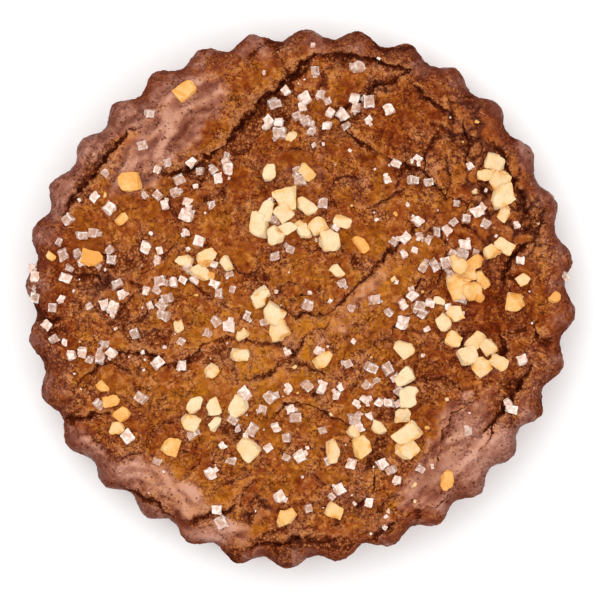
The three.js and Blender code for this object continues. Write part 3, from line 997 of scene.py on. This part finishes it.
class Shader:
    """One material's nodes."""

    def __init__(self, name):
        self.material = bpy.data.materials.new(name)
        self.material.use_nodes = True
        self.tree = self.material.node_tree
        self.tree.nodes.clear()

    def node(self, kind, settings, sockets, output=0):
        """A node with its settings and its sockets' values or links; gives one of its outputs."""
        made = self.tree.nodes.new(kind)
        for label, value in settings.items():
            if label == "stops":
                ramp = made.color_ramp.elements
                while len(ramp) < len(value):
                    ramp.new(1)
                for element, (place, colour) in zip(ramp, value):
                    element.position = place
                    element.color = (*colour, 1)
            else:
                setattr(made, label, value)
        for label, value in sockets.items():
            if isinstance(value, Socket):
                self.tree.links.new(value.socket, made.inputs[label])
            elif hasattr(value, "__len__") and len(made.inputs[label].default_value) == 4:
                made.inputs[label].default_value = (*value, 1)
            else:
                made.inputs[label].default_value = value
        return Socket(self, made.outputs[output])

    def mask(self, label):
        return self.node("ShaderNodeAttribute", {"attribute_name": label}, {}, "Fac")

    def place(self):
        """The piece's own coordinates in millimetres."""
        coords = self.node("ShaderNodeTexCoord", {}, {}, "Object")
        return self.node("ShaderNodeVectorMath", {"operation": "SCALE"}, {0: coords, "Scale": 1000})

    def noise(self, place, size, detail, roughness):
        """Noise from 0 to 1 with lumps of about a given size in millimetres."""
        sockets = {"Vector": place, "Scale": 1 / size, "Detail": detail, "Roughness": roughness}
        return self.node("ShaderNodeTexNoise", {}, sockets)

    def ripple(self, place, size, detail, roughness):
        """The same noise from -0.5 to 0.5."""
        return self.noise(place, size, detail, roughness) - 0.5

    def cells(self, place, size, output="Distance"):
        sockets = {"Vector": place, "Scale": 1 / size}
        return self.node("ShaderNodeTexVoronoi", {}, sockets, output)

    def part(self, colour):
        """First part of a colour."""
        return self.node("ShaderNodeSeparateColor", {}, {"Color": colour})

    def mix(self, part, first, second):
        sockets = {"Factor": part, 6: first, 7: second}
        return self.node("ShaderNodeMix", {"data_type": "RGBA"}, sockets, 2)

    def ramp(self, value, stops):
        return self.node("ShaderNodeValToRGB", {"stops": stops}, {"Fac": value})

    def warped(self, place, size, reach):
        """Coordinates pushed about by noise, in millimetres."""
        sockets = {"Vector": place, "Scale": 1 / size, "Detail": 2}
        push = self.node("ShaderNodeTexNoise", {}, sockets, "Color")
        sockets = {0: push, 1: (0.5, 0.5, 0.5)}
        centred = self.node("ShaderNodeVectorMath", {"operation": "SUBTRACT"}, sockets)
        sockets = {0: centred, 1: (reach, reach, reach), 2: place}
        return self.node("ShaderNodeVectorMath", {"operation": "MULTIPLY_ADD"}, sockets)

    def bump(self, height):
        """Normal of a surface whose height is given in millimetres."""
        return self.node("ShaderNodeBump", {}, {"Height": height, "Strength": 1.0, "Distance": MM})

    def finish(self, **sockets):
        """Closes the material with a Principled surface."""
        named = {label.replace("_", " "): value for label, value in sockets.items()}
        surface = self.node("ShaderNodeBsdfPrincipled", {}, named)
        end = self.tree.nodes.new("ShaderNodeOutputMaterial")
        self.tree.links.new(surface.socket, end.inputs["Surface"])
        return self.material


def crust_material(colours):
    """Baked dough: amber plates, torn crumb between them, smooth brown skin with pores; its pink sheen, the
    light on crests and the shade in hollows and cracks are painted.
    """
    shader = Shader("baked crust")
    place = shader.place()
    swirl = shader.warped(place, 1.8, 1.6)
    patch = shader.ripple(place, 7, 3, 0.55)
    hue = shader.ripple(swirl, 3.4, 4, 0.6)
    blotch = shader.ripple(swirl, 1.5, 4, 0.6)
    grain = shader.ripple(place, 0.75, 3, 0.55)
    specks = shader.ripple(place, 0.4, 2, 0.5)
    crumb_place = shader.warped(place, 0.7, 0.7)
    # Gaps between the crumbs; they darken the torn crumb below as painted shade
    crumb_gap = shader.cells(crumb_place, 0.6).step(0.3, 0.62)
    crumb_kind = shader.part(shader.cells(crumb_place, 0.6, "Color"))
    crack_masks = ("aside", "along", "half_width", "crease", "seam", "tear")
    aside, along, half_width, crease, seam, tear = (shader.mask(label) for label in crack_masks)
    zone_masks = ("broken", "cobble", "crumble", "skin", "tone", "rim", "fine", "bold")
    broken, cobble, crumble, skin, tone, edge, fine, bold = (shader.mask(label) for label in zone_masks)
    jitter = grain + specks * 0.6

    # Flakes of glaze in three sizes with crisp, ragged edges
    large_flakes = (hue + jitter * 0.25).step(-0.04, 0.03)
    flakes = (blotch + jitter * 0.25).step(-0.04, 0.03)
    small_flakes = (shader.ripple(crumb_place, 0.8, 3, 0.65) + specks * 0.3).step(-0.05, 0.05)

    # Thin cracks, pores, strands, and the ragged zones where the crumb is torn open
    threads = shader.node("ShaderNodeCombineXYZ", {}, {0: aside, 1: along * 0.14})
    streak = shader.noise(threads, 0.5, 3, 0.6).step(0.5, 0.62) * (tear * 1.3 - 0.3).clamp()
    # Dark lines along the creases between the puffed plates: painted shade in the creases
    shaded_crease = 1 - (crease.size() + jitter * 0.1).step(0.0, 0.035)
    shaded_crease = shaded_crease * (broken + blotch * 1.6).step(0.4, 0.8)
    cobbled = (cobble + blotch * 0.8).step(0.35, 0.7)
    split = (1 - (seam + jitter * 0.2).step(0.05, 0.24)) * cobbled
    # Dark core of the seams: painted shade in the gap between the cobbles
    core = (1 - (seam + jitter * 0.15).step(0.0, 0.06)) * cobbled
    # Dark line down each crack: the darker crumb inside it with painted shade in its recess
    crack = aside.size() / half_width + jitter * 1.5 + (crumb_kind - 0.5) * 0.4
    crack = 1 - crack.step(0.5, 1.1)
    pores = shader.cells(shader.warped(place, 0.5, 0.5), 0.9) + blotch * 0.7 + specks * 0.4
    # Dark pits and pores: painted shade in these small holes
    pits = 1 - pores.step(0.08, 0.24)
    pore = pits * (skin * 1.6).clamp()
    between = (1 - crease.size() / 0.17).clamp() * broken
    open_crumb = crumble + between * 0.8 + blotch * 1.4 + (crumb_kind - 0.5) * 0.5 - skin * 0.4
    torn = open_crumb.step(0.38, 0.52)
    # A lighter ring round the torn crumb: the plates' glazed edges, with a painted highlight where their
    # raised edges catch the light
    lip = open_crumb.step(0.12, 0.38) - torn

    # Thin fissures that part the plates, darkened as painted shade, and places where the plates are coarse
    coarse = 0.44 - tone * 0.2 + patch * 3 + hue * 2 - skin * 0.5 - edge * 0.2 - cobbled * 0.3
    coarse = coarse.clamp()
    fissure_line = shader.ripple(swirl, 2.6, 4, 0.55).size() + specks * 0.03
    small_fissure_line = shader.ripple(crumb_place, 1.5, 3, 0.55).size() + specks * 0.03
    shaded_fissures = (1 - fissure_line.step(0.002, 0.02)) * (patch + hue).step(-0.12, 0.06)
    shaded_fissures = shaded_fissures + (1 - small_fissure_line.step(0.004, 0.024)) * coarse * 0.9
    shaded_fissures = (shaded_fissures * (1 - skin * 0.7)).clamp()
    fleck = shader.noise(swirl, 0.55, 3, 0.55)
    dark_specks = (1 - fleck.step(0.36, 0.48)) * (0.1 + coarse * 0.7)
    light_specks = fleck.step(0.52, 0.64) * (0.4 + coarse * 0.6)

    # Shade of the plates and of the torn crumb, from 0 in the dark to 1 in the light: their own mottled
    # tone, with painted light on crests, painted shade in hollows, fissures, pits and the gaps between
    # crumbs, and a painted highlight on the lips
    shade = 0.55 + tone * 0.35 + patch * 0.4 + blotch * 0.3 + hue * 0.3
    shade = shade + (large_flakes - 0.5) * 0.08 + (flakes - 0.5) * (0.05 + coarse * 0.1)
    shade = shade + (small_flakes - 0.5) * (0.05 + coarse * 0.15) + grain * (0.18 + coarse * 0.25)
    shade = shade + specks * (0.12 + coarse * 0.22) + specks * specks.size() * coarse * 2
    shade = shade + fine * 0.16 + bold * 0.1 + lip * 0.2 + light_specks * 0.14
    shade = (shade - dark_specks * 0.1 - shaded_fissures * 0.55 - pits * coarse * 0.06).clamp()
    crumb_shade = 0.36 + tone * 0.3 + crumb_kind * 0.7 - crumb_gap * 0.42 + specks * 0.7
    crumb_shade = (crumb_shade + fine * 0.14 + bold * 0.08 - streak * 0.3).clamp()

    # Colour, laid on from the dough to the cracks
    stops = [
        (0.05, colours.crust_dark),
        (0.3, colours.crust_brown),
        (0.6, colours.crust_caramel),
        (0.95, colours.crust_light),
    ]
    dough = shader.ramp(shade, stops)
    golden = shader.mix(shade, colours.gold_dark, colours.gold_light)
    gilded = shader.noise(place, 4.4, 4, 0.6).step(0.42, 0.6) * (0.5 + tone).clamp()
    dough = shader.mix((gilded + light_specks * 0.45).clamp(), dough, golden)
    dough = shader.mix(dark_specks * 0.25, dough, colours.seam)
    dough = shader.mix(cobbled * (1 - edge) * 0.35, dough, colours.crust_caramel)
    dough = shader.mix(edge * 0.3, dough, colours.rim)
    stops = [
        (0.05, colours.torn_dark),
        (0.45, colours.torn_brown),
        (0.95, colours.torn_light),
    ]
    colour = shader.mix(torn * 0.9, dough, shader.ramp(crumb_shade, stops))
    # Painted sheen: a whitish-mauve reflection laid over the smooth skin, the rim's lobes, the lips round
    # the torn crumb and light patches
    sheen = shader.mix(shade, colours.skin_dark, colours.skin_sheen)
    painted_sheen = skin * (0.8 + (blotch + hue) * 0.75) + lip * 0.18 + (patch - 0.02).clamp() * 1.2
    painted_sheen = (painted_sheen - grain * 0.9).clamp()
    colour = shader.mix(painted_sheen * 0.8, colour, sheen)
    colour = shader.mix(split * 0.65, colour, colours.seam)
    # The crack colour laid over cracks, creases, seam cores and pores: painted shade in these recesses, with
    # the darker crumb inside the cracks
    crack = crack * (0.5 + hue.step(-0.1, 0.05) * 0.5) * (1 - (tone * 1.2).clamp() * 0.6)
    deep = (crack + shaded_crease * 0.5 + core * 0.7 + pore * 0.7).clamp()
    colour = shader.mix(deep, colour, colours.crack)

    # Fine relief in millimetres
    height = (grain + specks) * (0.08 + coarse * 0.12) + (crumb_kind - crumb_gap) * torn * 0.25
    height = height * (1 - skin * 0.6) - (shaded_crease + core + shaded_fissures) * 0.12 - (pore + crack) * 0.1
    return shader.finish(
        Base_Color=colour,
        Roughness=0.62 - skin * 0.18 + grain * 0.3,
        Specular_IOR_Level=0.02,
        Coat_Weight=(0.05 + skin * 0.45 + patch * 0.4 - deep - torn * 0.3).clamp(),
        Coat_Roughness=0.32,
        Normal=shader.bump(height),
    )


def nut_material(colours):
    """Chopped nut: cream flesh, golden where it has toasted and along its edges, whose gold is partly
    painted shade, with a faint grain.
    """
    shader = Shader("chopped nut")
    place = shader.place()
    toast, rim = shader.mask("toast"), shader.mask("rim")
    soft = shader.ripple(place, 2.2, 3, 0.5)
    grain = shader.ripple(place, 0.5, 3, 0.6)
    # Edges run more golden: toasting there, and painted shade that sets apart nuts lying together
    heat = toast + soft + rim * 0.75 + grain * 0.6
    stops = [
        (0.0, colours.nut_pale),
        (0.25, colours.nut_cream),
        (0.6, colours.nut_gold),
        (0.95, colours.nut_toasted),
    ]
    return shader.finish(
        Base_Color=shader.ramp(heat.clamp(), stops),
        Roughness=0.55 + grain * 0.25,
        Specular_IOR_Level=0.25,
        Subsurface_Weight=0.15,
        Subsurface_Radius=(1.0, 0.6, 0.35),
        Subsurface_Scale=0.0006,
        Normal=shader.bump(grain * 0.25 + soft * 0.2),
    )


def sugar_material(name, look, colours):
    """Sugar crystal: clouded in places, with whiter edges, and clearer where it is dull."""
    shader = Shader(name)
    place = shader.place()
    grain = shader.ripple(place, 0.35, 3, 0.6)
    cloud = shader.noise(place, look["cloud_size"], 2, 0.5)
    cloud = cloud.step(look["cloud_from"], look["cloud_from"] + CLOUD_EDGE)
    bright = shader.mask("rim") * look["edges"] + cloud * look["clouds"] + grain * look["grain"]
    bright = bright.clamp()
    return shader.finish(
        Base_Color=shader.mix(bright, colours.sugar_dull, colours.sugar_white),
        Roughness=look["rough"] + grain * look["rough"],
        Specular_IOR_Level=0.5,
        Alpha=(look["cover"] + bright * look["cover_rise"]).clamp(),
        Normal=shader.bump(grain * 0.25),
    )


def floor_material(colours):
    """Pale matt table top with a faint grain."""
    shader = Shader("pale table")
    place = shader.place()
    grain = shader.noise(place, 6, 3, 0.5)
    shaded = tuple(TABLE_SHADED * part for part in colours.floor)
    return shader.finish(
        Base_Color=shader.mix(grain, shaded, colours.floor),
        Roughness=0.8,
        Specular_IOR_Level=0.1,
    )


def cut_away(shape, spot, outward):
    """Slices off what lies beyond a plane and closes the cut."""
    everything = shape.verts[:] + shape.edges[:] + shape.faces[:]
    cut = bmesh.ops.bisect_plane(shape, geom=everything, plane_co=spot, plane_no=outward, clear_outer=True)
    rim = [item for item in cut["geom_cut"] if isinstance(item, bmesh.types.BMEdge)]
    bmesh.ops.contextual_create(shape, geom=rim)


def wear_edges(shape, size):
    """Chamfers the ridges of a chipped piece."""
    worn_from = math.radians(WORN_FROM)
    ridges = [edge for edge in shape.edges if edge.calc_face_angle(0) > worn_from]
    bmesh.ops.bevel(shape, geom=ridges, offset=size, segments=1, affect="EDGES", clamp_overlap=True)


def divide(shape, lengths):
    """Splits edges over each length in turn, so that the faces can take fine form."""
    bmesh.ops.triangulate(shape, faces=shape.faces[:])
    for longest in lengths:
        edges = [edge for edge in shape.edges if edge.calc_length() > longest]
        bmesh.ops.subdivide_edges(shape, edges=edges, cuts=1, use_grid_fill=True)
        bmesh.ops.triangulate(shape, faces=shape.faces[:])


def weather(shape, rounds, size, height, seed):
    """Softens a piece's corners and roughens its faces."""
    for _ in range(rounds):
        bmesh.ops.smooth_vert(shape, verts=shape.verts[:], factor=0.5)
    shape.normal_update()
    spots = np.array([vert.co for vert in shape.verts]).T
    pushes = height * fractal(*spots, size, 2, seed)
    moves = [vert.normal * push for vert, push in zip(shape.verts, pushes)]
    for vert, move in zip(shape.verts, moves):
        vert.co += move
    shape.normal_update()
    return [min(1.0, 2.2 * vert.calc_shell_factor() - 2.2) for vert in shape.verts]


def placed(shape, pose):
    """Points in place and faces of a finished piece."""
    bmesh.ops.triangulate(shape, faces=shape.faces[:])
    shape.verts.index_update()
    points = [pose @ vert.co for vert in shape.verts]
    faces = [[vert.index for vert in face.verts] for face in shape.faces]
    shape.free()
    return points, faces


def nut_mesh(plan, draw, bevel):
    """Chipped nut in place: its points, faces and edge mask."""
    shape = bmesh.new()
    for point in plan["points"]:
        shape.verts.new(point)
    hull = bmesh.ops.convex_hull(shape, input=shape.verts[:])
    loose = [item for item in hull["geom_interior"] + hull["geom_unused"] if item.is_valid]
    bmesh.ops.delete(shape, geom=list(set(loose)), context="VERTS")
    flat = math.radians(FLAT_TO)
    bmesh.ops.dissolve_limit(shape, angle_limit=flat, verts=shape.verts[:], edges=shape.edges[:])
    half_length, half_width = 0.5 * plan["length"], 0.5 * plan["width"]
    top = max(vert.co.z for vert in shape.verts)
    lean = Vector((lerp(-0.2, 0.2, draw()), lerp(-0.2, 0.2, draw()), 1)).normalized()
    cut_away(shape, Vector((0, 0, top * lerp(0.5, 0.85, draw()))), lean)
    for _ in range(2):
        turn = 2 * math.pi * draw()
        outward = Vector((math.cos(turn), math.sin(turn), lerp(-0.3, 0.3, draw()))).normalized()
        spot = Vector((half_length * math.cos(turn), half_width * math.sin(turn), 0))
        spot = spot * lerp(0.6, 0.95, draw())
        cut_away(shape, spot, outward)
    wear_edges(shape, bevel)
    divide(shape, NUT_SPLITS)
    for _ in range(int(2.2 * draw())):
        turn = 2 * math.pi * draw()
        bite = lerp(0.4, 0.75, draw()) * half_width
        reach = lerp(0.9, 1.2, draw())
        spot = Vector((half_length * math.cos(turn), half_width * math.sin(turn), 0.2 * half_width))
        spot = spot * reach
        for vert in shape.verts:
            away = vert.co - spot
            if 0 < away.length < bite:
                vert.co = spot + away * (bite / away.length)
    rim = weather(shape, NUT_SOFT_ROUNDS, NUT_BUMP_SIZE, NUT_BUMP_HEIGHT, int(1000 * draw()))
    return (*placed(shape, plan["pose"]), rim)


def grain_mesh(sides, pose, draw, bevel):
    """Broken sugar crystal in place: its points, faces and edge mask."""
    shape = bmesh.new()
    bmesh.ops.create_cube(shape, size=1)
    for vert in shape.verts:
        pull = [lerp(0.78, 1.06, draw()) for _ in range(3)]
        vert.co = Vector([c * s * p for c, s, p in zip(vert.co, sides, pull)])
    for _ in range(int(3 * draw())):
        turn = 2 * math.pi * draw()
        outward = Vector((math.cos(turn), math.sin(turn), lerp(-0.6, 0.9, draw()))).normalized()
        spot = Vector([0.5 * s * c for s, c in zip(sides, outward)]) * lerp(0.7, 1.05, draw())
        cut_away(shape, spot, outward)
    wear_edges(shape, bevel)
    longest = sides[0]
    divide(shape, [split * longest for split in SUGAR_SPLITS])
    bump_size = SUGAR_BUMP_SIZE * longest
    bump_height = SUGAR_BUMP_HEIGHT * longest
    rim = weather(shape, SUGAR_SOFT_ROUNDS, bump_size, bump_height, int(1000 * draw()))
    return (*placed(shape, pose), rim)


def joined(meshes):
    """One list of points, of faces and of edge mask from several."""
    points, faces, rims = [], [], []
    for more_points, more_faces, rim in meshes:
        start = len(points)
        points.extend(more_points)
        faces.extend([[start + i for i in face] for face in more_faces])
        rims.extend(rim)
    return points, faces, rims


def loose_places(count, lengths, draw):
    """Places and lengths of small crumbs strewn over the top."""
    places = []
    for _ in range(count):
        reach = (RADIUS - CRUMB_INSET) * math.sqrt(draw())
        turn = 2 * math.pi * draw()
        size = lerp(*lengths, draw() ** 2)
        places.append(((reach * math.cos(turn), reach * math.sin(turn)), size))
    return places


def length_property(name, description, millimetres):
    default = millimetres * MM
    return FloatProperty(name=name, description=description, default=default, unit="LENGTH", precision=5)


def share_property(name, description, share):
    return FloatProperty(name=name, description=description, default=share, subtype="FACTOR")


def power_property(name, description, watts):
    return FloatProperty(name=name, description=description, default=watts, unit="POWER")


def colour_property(name, description, red, green, blue):
    default = tint(red, green, blue)
    return FloatVectorProperty(
        name=name, description=description, default=default, subtype="COLOR", size=3, min=0, max=1
    )


class CookieSizes(bpy.types.PropertyGroup):
    """Sizes of the dressed cookie's fine forms."""

    crust_step: length_property("Crust spacing", "Spacing of the crust's mesh", 0.36)
    nut_bevel: length_property("Nut edge", "Rounding of a chopped nut's edges", 0.19)
    sugar_bevel: length_property("Sugar edge", "Wear of a sugar grain's edges", 0.09)
    frosted: share_property("Frosted share", "Share of the sugar that is frosted", 0.48)
    twins: share_property("Twin share", "Share of the sugar grown together from two crystals", 0.35)
    nut_crumbs: IntProperty(name="Nut crumbs", description="Small crumbs of nut", default=36, min=0)
    sugar_crumbs: IntProperty(name="Sugar crumbs", description="Small bits of sugar", default=110, min=0)


class CookieColours(bpy.types.PropertyGroup):
    """Colours of the cookie and the table."""

    crust_dark: colour_property("Dark crust", "Darkest crumb", 80, 22, 2)
    crust_brown: colour_property("Brown crust", "Brown crumb", 113, 43, 8)
    crust_caramel: colour_property("Caramel crust", "Usual crumb", 146, 73, 22)
    crust_light: colour_property("Light crust", "Lightest crumb", 184, 116, 58)
    # The dark and light skin colours are the ends of the painted sheen: the brown skin under it and a
    # whitish reflection where the skin swells
    skin_dark: colour_property("Dark skin", "Smooth skin in its hollows", 112, 50, 21)
    skin_sheen: colour_property("Light skin", "Smooth skin where it swells", 198, 146, 127)
    torn_dark: colour_property("Dark torn crumb", "Torn crumb in its hollows", 70, 21, 7)
    torn_brown: colour_property("Brown torn crumb", "Usual torn crumb", 126, 57, 22)
    torn_light: colour_property("Light torn crumb", "Torn crumb where it stands out", 190, 119, 71)
    gold_dark: colour_property("Dark gold", "Glazed patches in their hollows", 84, 32, 0)
    gold_light: colour_property("Light gold", "Glazed patches where they swell", 186, 111, 18)
    rim: colour_property("Rim", "Dough of the rim, browned most", 115, 59, 39)
    seam: colour_property("Seam", "Seams between the cobbles of the crust", 84, 40, 29)
    # The crack colour is the darker crumb inside the cracks together with painted shade in the recesses
    crack: colour_property("Crack", "Inside of the cracks", 66, 21, 7)
    nut_pale: colour_property("Pale nut", "Raw nut", 231, 208, 168)
    nut_cream: colour_property("Cream nut", "Usual nut", 231, 197, 151)
    nut_gold: colour_property("Golden nut", "Lightly toasted nut", 230, 182, 112)
    nut_toasted: colour_property("Toasted nut", "Well toasted nut", 228, 157, 74)
    sugar_white: colour_property("White sugar", "Edges of the sugar", 252, 244, 240)
    sugar_dull: colour_property("Dull sugar", "Duller faces of the sugar", 246, 202, 174)
    floor: colour_property("Table", "Table top", 248, 248, 248)


class CookieStage(bpy.types.PropertyGroup):
    """Light and camera."""

    key_power: power_property("Key light", "Power of the key light", 5.5)
    fill_power: power_property("Fill light", "Power of the fill light", 2.5)
    sky: FloatProperty(name="Sky", description="Strength of the even light all round", default=1.02)
    lens: FloatProperty(name="Lens", description="Camera lens", default=243.4, unit="CAMERA")
    camera_height: FloatProperty(
        name="Camera height", description="Height of the camera over the table", default=0.8, unit="LENGTH"
    )


class COOKIE_OT_crust(bpy.types.Operator):
    """Bake the biscuit with its fluted edge and cracked top"""

    bl_idname = "cookie.crust"
    bl_label = "Crust"

    def execute(self, context):
        points, faces, masks = crust_mesh(context.scene.cookie_sizes.crust_step / MM)
        material = crust_material(context.scene.cookie_colours)
        dress(mesh_piece("crust", points, faces, masks, material))
        return {"FINISHED"}


class COOKIE_OT_nuts(bpy.types.Operator):
    """Strew the chopped nuts and their crumbs"""

    bl_idname = "cookie.nuts"
    bl_label = "Chopped nuts"

    def execute(self, context):
        sizes = context.scene.cookie_sizes
        draw = Draws(SCENE_SEED)
        meshes, toast = [], []
        for plan in bake_plan()[1]:
            meshes.append(nut_mesh(plan, draw, sizes.nut_bevel / MM))
            toast.extend([plan["toast"] + 0.3 * (draw() - 0.5)] * len(meshes[-1][0]))
        for place, size in loose_places(sizes.nut_crumbs, NUT_CRUMB, draw):
            crumb = (size, size * lerp(0.5, 0.9, draw()), size * 0.6)
            pose = settle(place, crumb[2], CRUMB_SUNK, CRUMB_TILT, draw)
            meshes.append(grain_mesh(crumb, pose, draw, 0.08 * size))
            toast.extend([0.1 + 0.7 * draw() ** 2] * len(meshes[-1][0]))
        points, faces, rims = joined(meshes)
        material = nut_material(context.scene.cookie_colours)
        piece = mesh_piece("nuts", points, faces, {"toast": toast, "rim": rims}, material)
        piece.data.set_sharp_from_angle(angle=math.radians(NUT_SHARP))
        dress(piece)
        return {"FINISHED"}


class COOKIE_OT_sugar(bpy.types.Operator):
    """Strew the coarse sugar, frosted and clear"""

    bl_idname = "cookie.sugar"
    bl_label = "Coarse sugar"

    def execute(self, context):
        sizes = context.scene.cookie_sizes
        colours = context.scene.cookie_colours
        draw = Draws(SCENE_SEED + 1)
        frosted, clear = [], []
        for plan in bake_plan()[2]:
            kind = frosted if draw() < sizes.frosted else clear
            kind.append(grain_mesh(plan["sides"], plan["pose"], draw, sizes.sugar_bevel / MM))
            if draw() < sizes.twins:
                turn = Matrix.Rotation(2 * math.pi * draw(), 4, "Z")
                beside = Matrix.Translation((0.5 * plan["length"], 0, -0.15 * plan["length"]))
                twin = [side * lerp(0.5, 0.75, draw()) for side in plan["sides"]]
                kind.append(grain_mesh(twin, plan["pose"] @ turn @ beside, draw, sizes.sugar_bevel / MM))
        for place, size in loose_places(sizes.sugar_crumbs, SUGAR_CRUMB, draw):
            sides = (size, size * lerp(0.6, 1, draw()), size * 0.7)
            pose = settle(place, sides[2], CRUMB_SUNK, CRUMB_TILT, draw)
            frosted.append(grain_mesh(sides, pose, draw, 0.1 * size))
        for name, meshes, material in (
            ("frosted_sugar", frosted, sugar_material("frosted sugar", FROSTED, colours)),
            ("clear_sugar", clear, sugar_material("clear sugar", CLEAR, colours)),
        ):
            points, faces, rim = joined(meshes)
            piece = mesh_piece(name, points, faces, {"rim": rim}, material)
            piece.data.set_sharp_from_angle(angle=math.radians(SUGAR_SHARP))
            dress(piece)
        return {"FINISHED"}


class COOKIE_OT_stage(bpy.types.Operator):
    """Set the table, the lights and the camera"""

    bl_idname = "cookie.stage"
    bl_label = "Table and light"

    def lamp(self, name, power, place, size):
        """Soft square light that faces the cookie."""
        light = bpy.data.lights.new(name, "AREA")
        light.energy = power
        light.size = size
        lamp = bpy.data.objects.new(name, light)
        lamp.location = place
        lamp.rotation_euler = (-Vector(place)).to_track_quat("-Z", "Y").to_euler()
        lamp.visible_camera = False
        bpy.context.scene.collection.objects.link(lamp)

    def execute(self, context):
        scene = context.scene
        stage = scene.cookie_stage
        parts = TABLE_PARTS
        bpy.ops.mesh.primitive_grid_add(x_subdivisions=parts, y_subdivisions=parts, size=TABLE_SIZE)
        floor = context.active_object
        floor.name = "table"
        floor.data.materials.append(floor_material(scene.cookie_colours))

        self.lamp("key", stage.key_power, KEY_PLACE, KEY_SIZE)
        self.lamp("fill", stage.fill_power, FILL_PLACE, FILL_SIZE)
        world = bpy.data.worlds.new("sky")
        world.use_nodes = True
        backdrop = world.node_tree.nodes["Background"]
        backdrop.inputs["Color"].default_value = (1, 1, 1, 1)
        backdrop.inputs["Strength"].default_value = stage.sky
        scene.world = world
        scene.view_settings.view_transform = "Standard"

        lens = bpy.data.cameras.new("camera")
        lens.lens = stage.lens
        lens.sensor_width = SENSOR_WIDTH
        camera = bpy.data.objects.new("camera", lens)
        camera.location = (*CAMERA_ASIDE, stage.camera_height)
        scene.collection.objects.link(camera)
        scene.camera = camera
        return {"FINISHED"}


class COOKIE_PT_panel(bpy.types.Panel):
    """Lists the cookie's pieces in the sidebar"""

    bl_idname = "COOKIE_PT_panel"
    bl_label = "Speculaas cookie"
    bl_space_type = "VIEW_3D"
    bl_region_type = "UI"
    bl_category = "Cookie"

    def draw(self, context):
        for step in STEPS:
            self.layout.operator(step.bl_idname)
        for group in (context.scene.cookie_sizes, context.scene.cookie_colours, context.scene.cookie_stage):
            box = self.layout.box()
            for label in group.__annotations__:
                box.prop(group, label)


STEPS = (COOKIE_OT_crust, COOKIE_OT_nuts, COOKIE_OT_sugar, COOKIE_OT_stage)
GROUPS = {"cookie_sizes": CookieSizes, "cookie_colours": CookieColours, "cookie_stage": CookieStage}
CLASSES = (*GROUPS.values(), *STEPS, COOKIE_PT_panel)


def register():
    for kind in CLASSES:
        bpy.utils.register_class(kind)
    for label, group in GROUPS.items():
        setattr(bpy.types.Scene, label, PointerProperty(type=group))


def unregister():
    for label in GROUPS:
        delattr(bpy.types.Scene, label)
    for kind in reversed(CLASSES):
        bpy.utils.unregister_class(kind)


def main():
    register()
    bpy.ops.cookie.crust()
    bpy.ops.cookie.nuts()
    bpy.ops.cookie.sugar()
    bpy.ops.cookie.stage()


if __name__ == "__main__":
    main()
